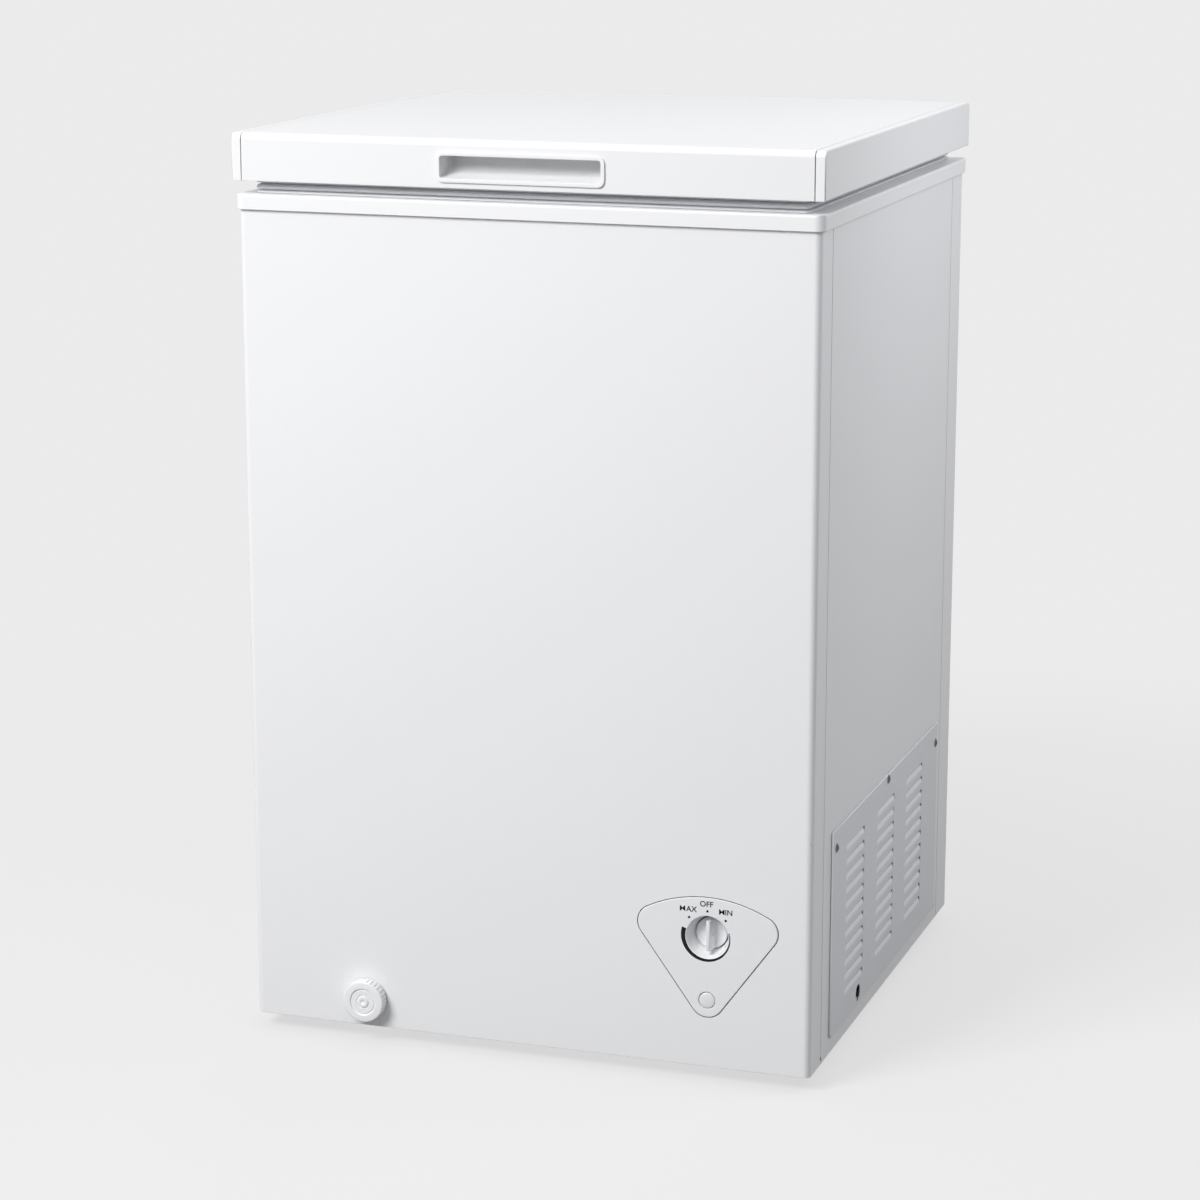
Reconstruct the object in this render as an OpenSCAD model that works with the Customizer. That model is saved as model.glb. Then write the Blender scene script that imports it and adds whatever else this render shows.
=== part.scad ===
// Chest freezer of the 100-litre class with a rear-hinged insulated lid.
// Origin on the floor at the centre of the overall footprint. +Z is up, the front faces -Y
// and the side with the vent cover faces +X. Millimetres.

/* [Cabinet] */
// Width of the steel cabinet
body_w = 545; // [520:1:700]
// Depth of the steel cabinet, front face to rear face
body_d = 537; // [500:1:640]
// Height from the floor to the top of the closed lid
total_h = 850; // [800:1:950]
// Height of the feet
foot_h = 15; // [12:1:30]
// Thickness of the outer steel sheet
sheet_t = 0.8; // [0.6:0.1:1.2]
// Outside radius of the cabinet's upright edges
corner_r = 6; // [4:0.5:10]
// Thickness of the insulated walls, outer skin to tank
wall_t = 65; // [58:1:72]
// Thickness of the insulated floor
floor_t = 60; // [55:1:80]
// How far the front panel wraps round onto each side
front_return = 38; // [30:1:50]
// How far the rear panel wraps round onto each side
rear_return = 46; // [30:1:55]
// Width of the open line between two panels
seam_gap = 1; // [0.6:0.1:2]

/* [Top frame] */
// Height of the plastic frame's outer skirt
trim_h = 14; // [12:1:20]
// How far the frame stands proud of the panels
trim_proud = 3; // [2:0.5:4]
// Thickness of the frame's top plate
trim_t = 3; // [2:0.5:4]
// Gap between the frame and the closed lid, filled by the gasket
seal_gap = 12; // [10:1:16]

/* [Lid] */
// Height of the lid's side
lid_h = 43; // [42:1:60]
// How far the lid stands proud of the panels
lid_proud = 4; // [4:0.5:8]
// Radius of the lid's upper edges
lid_edge_r = 6; // [4:0.5:8]
// Visible width of the plastic end caps
cap_w = 9; // [8:1:16]
// Wall of the plastic end caps
cap_t = 2.4; // [2:0.2:3]
// Depth of the raised centre of the lid's lining below the lid
plug_drop = 24; // [16:1:32]
// Distance from the lid's edge to the gasket
seal_inset = 16; // [14:1:20]
// Width of the gasket
seal_w = 14; // [12:1:18]

/* [Handle] */
// Width of the handle's rim
handle_w = 157; // [120:1:200]
// Height of the handle's rim
handle_h = 27; // [25:0.5:30]
// Depth of the finger recess
handle_depth = 32; // [26:1:40]
// Height of the rim above the lid's lower edge
handle_up = 5; // [4:0.5:7]

/* [Compressor bay] */
// Width of the bay inside the right-hand side
bay_w = 174; // [168:1:180]
// Height of the bay above the cabinet's lower edge
bay_h = 220; // [216:1:240]
// Insulation between the bay and the tank
step_t = 45; // [35:1:60]
// Radius of the compressor's shell
comp_r = 60; // [52:1:62]
// Height of the compressor's shell
comp_h = 140; // [120:1:150]

/* [Vent cover] */
// Distance from the front face to the cover's front edge
vent_y = 65; // [56:1:75]
// Length of the cover
vent_l = 408; // [396:1:412]
// Height of the cover's lower edge above the cabinet's lower edge
vent_z = 15; // [13:1:16]
// Height of the cover
vent_h = 198; // [194:1:201]
// How far the cover stands proud of the side panel
vent_proud = 1.8; // [1.4:0.1:2.4]
// Number of louvre rows
louvre_rows = 11; // [6:1:11]
// Number of louvre columns
louvre_cols = 3; // [2:1:3]
// Length of a louvre
louvre_l = 66; // [50:1:80]
// Height of a louvre
louvre_h = 7; // [6:0.5:8]
// Distance between louvre rows
louvre_pitch = 14; // [13.4:0.1:14.4]

/* [Controls and drain] */
// Distance from the knob to the cabinet's right edge
knob_in = 97; // [90:1:100]
// Height of the knob above the cabinet's lower edge
knob_z = 124; // [118:1:128]
// Radius of the knob's disc
knob_r = 14.6; // [12:0.2:15]
// Depth of the bowl that holds the knob
bowl_d = 16; // [12:0.5:20]
// Distance from the drain to the cabinet's left edge
drain_in = 114; // [100:1:140]
// Height of the drain above the cabinet's lower edge
drain_z = 27; // [26:1:31]
// Radius of the drain dial
dial_r = 20; // [17:0.5:22]
// How far the drain dial stands proud of the front panel
dial_proud = 13; // [11:0.5:18]

/* [Hinges] */
// Distance from the centre of the freezer to each hinge
hinge_x = 165; // [120:1:190]
// Distance from the rear panel to the hinge pins
hinge_back = 13; // [12.5:0.5:18]
// Radius of the hinge pins
pin_r = 3; // [2.5:0.1:3.4]

/* [Basket] */
// Width of the basket
basket_w = 196; // [150:1:200]
// Depth of the basket's inside
basket_h = 180; // [120:1:220]
// Radius of the basket's wires
wire_r = 2; // [1.6:0.1:2.4]
// Number of U-shaped wires that run from left to right
wires_across = 9; // [5:1:12]
// Number of U-shaped wires that run from front to rear
wires_along = 4; // [3:1:6]

/* [Hidden] */
$fn = 48;

// Clearances
fit = 0.05;   // radial running clearance of a pin or shaft
gap = 0.3;    // clearance between pieces that lie side by side
past = 1;     // how far a cut runs past the face that it opens

// Colours
paint = [0.93, 0.93, 0.94];
white_plastic = [0.95, 0.95, 0.95];
grey_rubber = [0.62, 0.62, 0.65];
dark_rubber = [0.12, 0.12, 0.12];
bare_steel = [0.62, 0.63, 0.65];
black_paint = [0.08, 0.08, 0.09];
copper = [0.72, 0.43, 0.28];
aluminium = [0.80, 0.81, 0.83];
foam_colour = [0.93, 0.88, 0.70];

// Overall frame: the hinge ears and the drain dial set the depth
ear_r = 8;
front_y = -(dial_proud + body_d + hinge_back + ear_r) / 2 + dial_proud;
rear_y = front_y + body_d;
cab_y = (front_y + rear_y) / 2;
right_x = body_w / 2;
left_x = -right_x;
base_z = foot_h;
lid_z = total_h - lid_h;
trim_top = lid_z - seal_gap;
trim_z = trim_top - trim_h;
rim_z = trim_top - trim_t;

// Panels
hem_w = 14;
joggle_w = 12;
pan_t = 1;
pan_z = base_z + sheet_t;
pan_top = pan_z + pan_t;
pan_upturn = 12;
pan_inset = 2 * sheet_t;
seam_front_y = front_y + front_return;
seam_rear_y = rear_y - rear_return;

// Tank
liner_t = 0.8;
liner_flange = 14;
tank_r = 8;
tank_w = body_w - 2 * wall_t;
tank_d = body_d - 2 * wall_t;
tank_z = base_z + floor_t;
bay_x = right_x - bay_w;
bay_top = base_z + bay_h;
bulkhead_t = 1;
step_x = bay_x - step_t;
step_z = bay_top + step_t;
lip_t = 2;
lip_h = 10;

// Vent cover, in the cover's own directions: y towards the rear, z up
vent_t = 1;
vent_r = 4;
vent_y0 = front_y + vent_y;
vent_z0 = base_z + vent_z;
window_in_y = 22;
window_in_top = 17;
window_in_foot = 5;
louvre_span = vent_l * 0.281;
louvre_shift = -7.5;
louvre_top = 25;
blade_r = 8;
blade_turn = 60;
blade_root = 0.5;
blade_t = 0.8;
screw_r = 4.8;
screw_head = 1.9;
shank_r = 2;
vent_screws = [[13, 18], [vent_l / 2, 5], [vent_l - 8, 20]];
inspection_r = 8;
inspection_y = 100;
inspection_z = 11.5;

// Refrigeration
tube_r = 4;
thin_r = 2.5;
cap_r = 1;
bend_r = 12;
comp_x = bay_x + bay_w / 2 - 4;
comp_y = rear_y - 165;
tray_h = 8;
tray_t = 2;
tray_half = 74;
mount_h = 12;
mount_r = 10;
mount_x = 50;
mount_y = 56;
foot_plate_t = 2.5;
comp_z = pan_top + tray_h + mount_h + foot_plate_t;
collar_r = 6;
collar_y = comp_y + comp_r + 6;
suction_dx = -26;
discharge_dx = 20;
drier_dx = -56;
suction_z = comp_z + comp_h * 0.44;
discharge_z = comp_z + comp_h * 0.32;
process_z = comp_z + comp_h * 0.2;
weld_up = comp_h * 0.54;
weld_h = 4;
lead_z = bay_top - 15;
coil_step = 12;
evap_runs = 6;
cond_runs = 4;
evap_out = tank_w / 2 + liner_t + gap + tube_r;
evap_back = tank_d / 2 + liner_t + gap + tube_r;
cond_out = right_x - 2 * sheet_t - gap - thin_r;
cond_back = body_d / 2 - 2 * sheet_t - gap - thin_r;
evap_z0 = step_z + 25;
evap_z1 = rim_z - 62;
cond_z0 = bay_top + 55;
cond_z1 = rim_z - 122;
evap_y = cab_y + evap_back;
cond_y = cab_y + cond_back;
drier_r = 9.5;
drier_l = 95;
drier_z = comp_z + 22;

// Controls
panel_t = 3;
panel_below = 87.7;
panel_apex_z = base_z + knob_z - panel_below;
panel_arc_r = 125;
panel_corner_r = 16;
panel_half_turn = 36;
panel_gap = 0.6;
panel_flange = 4;
panel_graze = 0.02;   // sinks straight sides below the arcs, so that they cross and don't only touch
knob_x = right_x - knob_in;
knob_axis_z = base_z + knob_z;
bowl_r = 20.2;
bowl_foot_r = knob_r + 1;
bowl_t = 2;
disc_t = 3.4;
grip_t = 7;
shaft_r = 3;
bush_r = 5;
stat_w = 40;
stat_d = 28;
stat_h = 36;
lens_r = 8.1;
lens_t = 2.4;
lamp_r = 5;
lamp_l = 20;

// Drain
drain_x = left_x + drain_in;
drain_axis_z = base_z + drain_z;
spout_r = 8;
spout_bore = 6;
sleeve_r = 11;
sleeve_l = 50;
sleeve_flange = 1.2;
spout_l = 47;
dial_face = 2.2;
dial_wall = 2;
spout_front = front_y - dial_proud + dial_face + gap;
tube_in_sleeve = 4;
tube_in_socket = 3;
drain_back = 40;
drain_y = front_y + wall_t + drain_back;
socket_r = 10;
socket_l = 12;
socket_flange = 1.5;
plug_stem = 8;

// Hinges
bracket_w = 56;
bracket_t = 2.5;
bracket_h = 80;
bracket_top = trim_z - 3;
axis_y = rear_y + hinge_back;
axis_z = trim_top + seal_gap / 2;
ear_t = 3;
knuckle_r = 7;
knuckle_w = 30;
leaf_w = 56;
leaf_t = 2.5;
leaf_z = lid_z + 6;
leaf_h = 32;
spring_wire = 1;
spring_r = 5.2;
spring_coils = 5;
spring_step = 1.7;
spring_leg = 40;
spring_leg_r = 0.8;
small_screw_r = 3.6;
small_screw_head = 1.8;
small_shank_r = 1.6;
small_screw_l = 10;

// Lid
lid_w = body_w + 2 * lid_proud;
lid_d = body_d + 2 * lid_proud;
lid_corner_r = corner_r + 2;
lid_lip = 12;
groove = 0.8;
tongue = 8;
lid_front = front_y - lid_proud;
plug_gap = 10;
plug_w = tank_w - 2 * (lip_t + plug_gap);
plug_d = tank_d - 2 * (lip_t + plug_gap);
plug_r = 20;
plug_t = 2.4;
handle_proud = 1.2;
handle_rim = 3.6;
handle_r = 5;
handle_wall = 2;
handle_scoop = 8;
handle_z = lid_z + handle_up;

// Basket
basket_d = tank_d - 2 * (lip_t + gap + 2 * wire_r + 1);
hook_y = tank_d / 2 - lip_t - gap - wire_r;
hook_rest = 24;
basket_top = lid_z - plug_drop - 6 - wire_r;
basket_x1 = tank_w / 2 - lip_t - 3;
basket_x0 = basket_x1 - basket_w;
basket_mid = (basket_x0 + basket_x1) / 2;
basket_floor = basket_top - basket_h;
basket_r = 12;
hook_x = basket_w / 2 - 34;
hook_z = trim_top + wire_r + fit;

// ---------------------------------------------------------------- helpers

function unit(v) = v / norm(v);

// Matrix that carries x, y, z to the three given directions and the origin to o
function placed(o, x, y, z) = [
    [x[0], y[0], z[0], o[0]],
    [x[1], y[1], z[1], o[1]],
    [x[2], y[2], z[2], o[2]],
    [0, 0, 0, 1]];

// A direction at right angles to d
function across(d) = abs(d[2]) < 0.9 ? unit(cross([0, 0, 1], d)) : unit(cross([1, 0, 0], d));

// Upright rectangle, centred, with round corners
module rounded_rect(w, d, r) {
    square([w - 2 * r, d], center = true);
    square([w, d - 2 * r], center = true);
    for (sx = [-1, 1], sy = [-1, 1])
        translate([sx * (w / 2 - r), sy * (d / 2 - r)]) circle(r);
}

// Extrudes a shape drawn in X and Z along Y, from y0 for a length of t
module along_y(y0, t) {
    translate([0, y0 + t, 0]) rotate([90, 0, 0]) linear_extrude(t) children();
}

// Extrudes a shape drawn in Y and Z along X, from x0 for a length of t
module along_x(x0, t) {
    translate([x0, 0, 0]) rotate([90, 0, 90]) linear_extrude(t) children();
}

// Turns a shape about Y, with its own +Z pointing to the rear
module facing_rear(x, y, z) {
    translate([x, y, z]) rotate([-90, 0, 0]) children();
}

// Round bar or tube that follows points with round bends
module run_of_tube(points, r, bend) {
    last = len(points) - 1;
    heading = [for (i = [0 : last - 1]) unit(points[i + 1] - points[i])];
    turn = [for (i = [0 : last]) (i == 0 || i == last) ? 0 : acos(heading[i - 1] * heading[i])];
    for (i = [0 : last - 1]) {
        start = points[i] + heading[i] * bend * tan(turn[i] / 2);
        end = points[i + 1] - heading[i] * bend * tan(turn[i + 1] / 2);
        side = across(heading[i]);
        multmatrix(placed(start, side, cross(heading[i], side), heading[i]))
            cylinder(r = r, h = norm(end - start));
    }
    for (i = [1 : last - 1]) {
        inward = unit(heading[i] - heading[i - 1]);
        middle = points[i] + inward * bend / cos(turn[i] / 2);
        from = unit(points[i] - heading[i - 1] * bend * tan(turn[i] / 2) - middle);
        multmatrix(placed(middle, from, heading[i - 1], cross(from, heading[i - 1])))
            rotate_extrude(angle = turn[i]) translate([bend, 0]) circle(r);
    }
}

// Route of a coil that wraps to and fro round a tank, open at the rear.
// It rises from z_in at x = x_in, ends at x = x_out and turns back at x = x_turn.
function coil_route(half_w, half_d, z0, z1, runs, x_in, x_out, x_turn, z_in) =
    concat([[x_in, cab_y + half_d, z_in]],
        [for (k = [0 : runs - 1], j = [0 : 5])
            let (z = z0 + (z1 - z0) * k / (runs - 1),
                to_left = k % 2 == 0,
                right_end = k == runs - 1 ? x_out : x_in,
                xs = [right_end, half_w, half_w, -half_w, -half_w, x_turn],
                ys = [half_d, half_d, -half_d, -half_d, half_d, half_d],
                i = to_left ? j : 5 - j)
            [xs[i], cab_y + ys[i], z]],
        [[x_out, cab_y + half_d, z_in]]);

// Pan-head screw with a cross recess. It points along -Z, its head's underside is at z = 0.
module pan_screw(head_r, head_h, shank, length) {
    ball_r = (head_r * head_r + head_h * head_h) / (2 * head_h);
    difference() {
        intersection() {
            translate([0, 0, head_h - ball_r]) sphere(ball_r);
            cylinder(r = head_r, h = head_h);
        }
        for (a = [0, 90])
            rotate([0, 0, a]) translate([-head_r * 0.55, -head_r * 0.12, head_h / 2])
                cube([head_r * 1.1, head_r * 0.24, head_h]);
    }
    translate([0, 0, -length]) cylinder(r = shank, h = length);
}

// ---------------------------------------------------------------- cabinet shell

module cabinet_outline(inset) {
    translate([0, cab_y])
        rounded_rect(body_w - 2 * inset, body_d - 2 * inset, max(corner_r - inset, sheet_t));
}

// Slab of the whole cabinet between two depths
module depth_band(y0, y1) {
    translate([-body_w, y0, 0]) cube([2 * body_w, y1 - y0, total_h]);
}

// Folded sheet between two depths: the upright wall and the hem under it
module folded_panel(y0, y1) {
    intersection() {
        union() {
            translate([0, 0, base_z]) linear_extrude(rim_z - base_z) difference() {
                cabinet_outline(0);
                cabinet_outline(sheet_t);
            }
            translate([0, 0, base_z]) linear_extrude(sheet_t) difference() {
                cabinet_outline(0);
                cabinet_outline(hem_w);
            }
        }
        depth_band(y0, y1);
    }
}

module front_panel() color(paint) difference() {
    folded_panel(front_y - past, seam_front_y);
    along_y(front_y - past, 2 * past + sheet_t) panel_outline(panel_gap);
    facing_rear(drain_x, front_y - past, drain_axis_z) cylinder(r = sleeve_r + gap, h = 2 * past + sheet_t);
}

// Set-back flanges of a side panel, tucked behind the front and rear returns
module side_joggles(sx) {
    for (edge = [[seam_front_y - joggle_w, seam_front_y + 4], [seam_rear_y - 4, seam_rear_y + joggle_w]])
        translate([sx > 0 ? right_x - 2 * sheet_t : left_x + sheet_t, edge[0], pan_z])
            cube([sheet_t, edge[1] - edge[0], rim_z - pan_z]);
}

// The half of the cabinet on one side
module side_half(sx) {
    intersection() {
        union() children();
        translate([sx > 0 ? 0 : -body_w, front_y - body_d, 0]) cube([body_w, 3 * body_d, total_h]);
    }
}

module left_side_panel() color(paint) {
    side_half(-1) folded_panel(seam_front_y + seam_gap, seam_rear_y - seam_gap);
    side_joggles(-1);
}

module right_side_panel() color(paint) difference() {
    union() {
        side_half(1) folded_panel(seam_front_y + seam_gap, seam_rear_y - seam_gap);
        side_joggles(1);
    }
    bay_window();
    vent_screw_places() cylinder(r = shank_r + fit, h = 4 * past + 2 * sheet_t, center = true);
}

// Opening in the right-hand panel through which the compressor is reached
module bay_window() {
    translate([right_x - 3 * sheet_t, vent_y0 + window_in_y, vent_z0 + window_in_foot])
        cube([6 * sheet_t, vent_l - 2 * window_in_y, vent_h - window_in_foot - window_in_top]);
}

module vent_screw_places() {
    for (p = vent_screws)
        translate([right_x, vent_y0 + p[0], vent_z0 + vent_h - p[1]]) rotate([0, 90, 0]) children();
}

// Rows of air slots in the rear wall of the compressor bay
rear_slot_l = 46;
rear_slot_h = 5;
rear_slot_rows = 9;
rear_slot_pitch = 12;
module rear_slots() {
    for (sx = [-1, 1], k = [0 : rear_slot_rows - 1])
        translate([bay_x + bay_w / 2 + sx * (rear_slot_l / 2 + 8), base_z + 86 + k * rear_slot_pitch])
            rounded_rect(rear_slot_l, rear_slot_h, rear_slot_h / 2 - 0.1);
}

grommet_x = right_x - 60;
grommet_z = base_z + 42;
grommet_r = 8;
module rear_panel() color(paint) difference() {
    folded_panel(seam_rear_y, rear_y + past);
    along_y(rear_y - past - sheet_t, 2 * past + sheet_t) rear_slots();
    facing_rear(grommet_x, rear_y - past - sheet_t, grommet_z)
        cylinder(r = grommet_r, h = 2 * past + sheet_t);
    bracket_screw_places() cylinder(r = small_shank_r + fit, h = 20, center = true);
}

module base_pan() color(bare_steel) difference() {
    translate([0, 0, pan_z]) union() {
        linear_extrude(pan_t) cabinet_outline(pan_inset);
        linear_extrude(pan_upturn) difference() {
            cabinet_outline(pan_inset);
            cabinet_outline(pan_inset + pan_t);
        }
    }
    foot_places() cylinder(r = foot_pin_r + gap, h = 3 * foot_h, center = true);
    translate([0, 0, pan_z - past]) linear_extrude(pan_t + 2 * past) bay_floor_slots();
}

// Air inlets in the floor of the bay, ahead of the compressor
floor_slots = 6;
floor_slot_l = 100;
floor_slot_w = 8;
floor_slot_pitch = 20;
module bay_floor_slots() {
    for (k = [0 : floor_slots - 1])
        translate([bay_x + bay_w / 2, comp_y - tray_half - 30 - k * floor_slot_pitch])
            rounded_rect(floor_slot_l, floor_slot_w, floor_slot_w / 2 - 0.1);
}

foot_in = 62;
foot_r = 18;
foot_pin_r = 4;
foot_pin_l = 8;
module foot_places() {
    for (sx = [-1, 1], y = [front_y + foot_in, rear_y - foot_in])
        translate([sx * (right_x - foot_in), y, 0]) children();
}

module feet() color(dark_rubber) foot_places() {
    rotate_extrude() polygon([[0, 0], [foot_r - 4, 0], [foot_r - 2, 2], [foot_r, pan_z], [0, pan_z]]);
    translate([0, 0, pan_z]) cylinder(r = foot_pin_r, h = pan_t + foot_pin_l);
}

// ---------------------------------------------------------------- tank, foam and top frame

// Space of the tank, grown outwards by a wall: the full upper part and the well beside the step
module tank_space(grow, top) {
    well_w = step_x + tank_w / 2;
    translate([0, cab_y, step_z - grow]) linear_extrude(top - step_z + grow)
        rounded_rect(tank_w + 2 * grow, tank_d + 2 * grow, tank_r + grow);
    translate([step_x - well_w / 2, cab_y, tank_z - grow]) linear_extrude(step_z - tank_z + 2 * grow)
        rounded_rect(well_w + 2 * grow, tank_d + 2 * grow, tank_r + grow);
}

module tank_flange() {
    translate([0, cab_y, rim_z - liner_t]) linear_extrude(liner_t)
        rounded_rect(tank_w + 2 * liner_flange, tank_d + 2 * liner_flange, tank_r + liner_flange);
}

module inner_liner() color(aluminium) difference() {
    union() {
        tank_space(liner_t, rim_z);
        tank_flange();
    }
    tank_space(0, rim_z + past);
    translate([drain_x, drain_y, tank_z - past - liner_t]) cylinder(r = socket_r + gap, h = 3 * past);
}

// The bay with the sheet that walls it off
module bay_space() {
    translate([bay_x - bulkhead_t, front_y - past, base_z - past])
        cube([bay_w + bulkhead_t + past, body_d + 2 * past, bay_h + bulkhead_t + past]);
}

module machine_bulkhead() color(bare_steel) {
    wall_y = front_y + sheet_t;
    depth = body_d - 2 * sheet_t;
    end_x = right_x - 2 * sheet_t - gap;
    flange = 12;
    difference() {
        along_y(wall_y, depth) {
            translate([bay_x - bulkhead_t, pan_top]) square([bulkhead_t, bay_top + bulkhead_t - pan_top]);
            translate([bay_x - bulkhead_t, bay_top]) square([end_x - bay_x + bulkhead_t, bulkhead_t]);
            translate([bay_x - bulkhead_t, pan_top]) square([flange, bulkhead_t]);
        }
        pan_corner_cut();
        for (p = [[comp_x + suction_dx, evap_y, tube_r], [comp_x + suction_dx + coil_step, evap_y, tube_r],
                [comp_x + discharge_dx, cond_y, thin_r], [comp_x + drier_dx, cond_y, thin_r],
                [knob_x, stat_mid_y, cap_r]])
            translate([p[0], p[1], bay_top - past]) cylinder(r = p[2] + gap, h = bulkhead_t + 2 * past);
    }
}

// Room for the upturned edge of the base pan
module pan_corner_cut() {
    translate([0, 0, pan_z - past]) linear_extrude(pan_upturn + past + gap) difference() {
        cabinet_outline(-past);
        cabinet_outline(pan_inset + pan_t + gap);
    }
}

module cabinet_foam() color(foam_colour) difference() {
    translate([0, 0, pan_top]) linear_extrude(rim_z - pan_top) cabinet_outline(sheet_t);
    tank_space(liner_t, rim_z + past);
    tank_flange();
    bay_space();
    pan_corner_cut();
    side_joggles(-1);
    side_joggles(1);
    run_of_tube(evaporator_route, tube_r + gap / 2, bend_r);
    run_of_tube(condenser_route, thin_r + gap / 2, bend_r);
    run_of_tube(bulb_lead_route, cap_r + gap, bulb_bend);
    bulb_body(gap);
    run_of_tube(drain_route(0), spout_r + gap / 2, drain_bend);
    facing_rear(drain_x, front_y, drain_axis_z) cylinder(r = sleeve_r + gap / 2, h = sleeve_l);
    translate([drain_x, drain_y, tank_z - socket_l]) cylinder(r = socket_r + gap / 2, h = socket_l);
    foot_places() cylinder(r = foot_pin_r + gap, h = pan_top + foot_pin_l + gap);
    bracket_screw_places() cylinder(r = small_shank_r + gap / 2, h = 40, center = true);
}

module top_trim() color(white_plastic) {
    difference() {
        round_top_block(body_w + 2 * trim_proud, body_d + 2 * trim_proud, trim_z, trim_top,
            corner_r + trim_proud, trim_edge_r);
        translate([0, 0, trim_z - past]) linear_extrude(rim_z - trim_z + past) cabinet_outline(0);
        translate([0, cab_y, trim_z]) linear_extrude(trim_h + past)
            rounded_rect(tank_w - 2 * lip_t, tank_d - 2 * lip_t, tank_r - lip_t);
    }
    translate([0, cab_y, trim_top - lip_h]) linear_extrude(lip_h) difference() {
        rounded_rect(tank_w, tank_d, tank_r);
        rounded_rect(tank_w - 2 * lip_t, tank_d - 2 * lip_t, tank_r - lip_t);
    }
}

// Block with round upright edges and rounded upper edges, centred on the cabinet
trim_edge_r = 2;
module round_top_block(w, d, z0, z1, r_side, r_top) {
    tall = 2 * (z1 - z0) + 4 * r_top;
    intersection() {
        translate([0, cab_y, z0]) linear_extrude(z1 - z0) rounded_rect(w, d, r_side);
        translate([0, cab_y, z1 - tall / 2]) rotate([90, 0, 90])
            linear_extrude(w + 2 * past, center = true) rounded_rect(d, tall, r_top);
        translate([0, cab_y, z1 - tall / 2]) rotate([90, 0, 0])
            linear_extrude(d + 2 * past, center = true) rounded_rect(w, tall, r_top);
    }
}

// ---------------------------------------------------------------- vent cover

// Places of the louvres, in the cover's own y and z
module louvre_places() {
    first_y = vent_l / 2 + louvre_shift - louvre_span * (louvre_cols - 1) / 2;
    for (c = [0 : louvre_cols - 1], k = [0 : louvre_rows - 1])
        translate([0, vent_y0 + first_y + c * louvre_span,
            vent_z0 + vent_h - louvre_top - louvre_h - k * louvre_pitch]) children();
}

// Outline of one louvre: straight along its fold, with round upper corners
module louvre_outline(inset) {
    w = louvre_l - 2 * inset;
    h = louvre_h - inset;
    r = 2.5 - inset;
    translate([-w / 2, 0]) square([w, h - r]);
    translate([-w / 2 + r, 0]) square([w - 2 * r, h]);
    for (s = [-1, 1]) translate([s * (w / 2 - r), h - r]) circle(r);
}

// Blade pressed inwards from its fold, curved like a scoop
module louvre_blade() {
    intersection() {
        rotate([90, 0, 0]) linear_extrude(louvre_l, center = true) intersection() {
            translate([-blade_r, 0]) difference() {
                circle(blade_r);
                circle(blade_r - blade_t);
            }
            translate([-blade_r, 0]) polygon([[0, 0], [0, -blade_root], [3 * blade_r, -blade_root],
                3 * blade_r * [cos(blade_turn), sin(blade_turn)]]);
        }
        along_x(-blade_r, 2 * blade_r) {
            louvre_outline(gap);
            translate([gap - louvre_l / 2, -blade_root]) square([louvre_l - 2 * gap, 2 * blade_root]);
        }
    }
}

module vent_cover() color(paint) {
    face_x = right_x + vent_proud - vent_t;
    difference() {
        along_x(right_x, vent_proud) vent_outline(0);
        along_x(right_x - past, past + vent_proud - vent_t) vent_outline(vent_t);
        translate([face_x, 0, 0]) louvre_places() along_x(-past, vent_t + 2 * past) louvre_outline(0);
        vent_screw_places() cylinder(r = shank_r + fit, h = 6 * vent_proud, center = true);
        translate([face_x - past, vent_y0 + inspection_y, vent_z0 + inspection_z])
            rotate([0, 90, 0]) cylinder(r = inspection_r, h = vent_t + 2 * past);
    }
    translate([right_x + vent_proud - past / 10, 0, 0]) louvre_places() louvre_blade();
    for (y = vent_l * [0.3, 0.7])
        translate([right_x - 2 * sheet_t - vent_t, vent_y0 + y, vent_z0 + window_in_foot]) vent_hook();
}

// Tab that passes through the window and drops behind its lower edge
hook_w = 24;
hook_drop = 5;
hook_up = 1;
module vent_hook() {
    reach = 2 * sheet_t + vent_proud + vent_t / 2;
    translate([0, -hook_w / 2, -hook_drop]) cube([vent_t, hook_w, hook_drop + hook_up + vent_t]);
    translate([0, -hook_w / 2, hook_up]) cube([reach, hook_w, vent_t]);
}

// Cover's outline: square upper corners, round lower ones
module vent_outline(inset) {
    w = vent_l - 2 * inset;
    h = vent_h - 2 * inset;
    translate([vent_y0 + vent_l / 2, vent_z0 + vent_h / 2]) {
        rounded_rect(w, h, vent_r - inset);
        translate([-w / 2, 0]) square([w, h / 2]);
    }
}

module vent_cover_screws() color(bare_steel) vent_screw_places()
    translate([0, 0, vent_proud]) pan_screw(screw_r, screw_head, shank_r, 12);

// ---------------------------------------------------------------- compressor bay

module compressor_tray() color(bare_steel) difference() {
    union() {
        translate([bay_x + gap, comp_y - tray_half, pan_top + tray_h - tray_t])
            cube([tray_w, 2 * tray_half, tray_t]);
        for (y = [comp_y - tray_half, comp_y + tray_half - tray_t])
            translate([bay_x + gap + 14, y, pan_top]) cube([tray_w - 14, tray_t, tray_h]);
    }
    mount_places() cylinder(r = bolt_r + fit, h = 4 * tray_h, center = true);
}
tray_w = bay_w - 2 * sheet_t - pan_t - 4 * gap;
bolt_r = 3;

module mount_places() {
    for (sx = [-1, 1], sy = [-1, 1])
        translate([comp_x + sx * mount_x, comp_y + sy * mount_y, pan_top + tray_h]) children();
}

module compressor_mounts() color(dark_rubber) mount_places() rotate_extrude() {
    polygon([[bolt_r + gap, 0], [mount_r, 0], [mount_r - 2, mount_h / 2], [mount_r, mount_h],
        [bolt_r + gap, mount_h]]);
}

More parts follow.
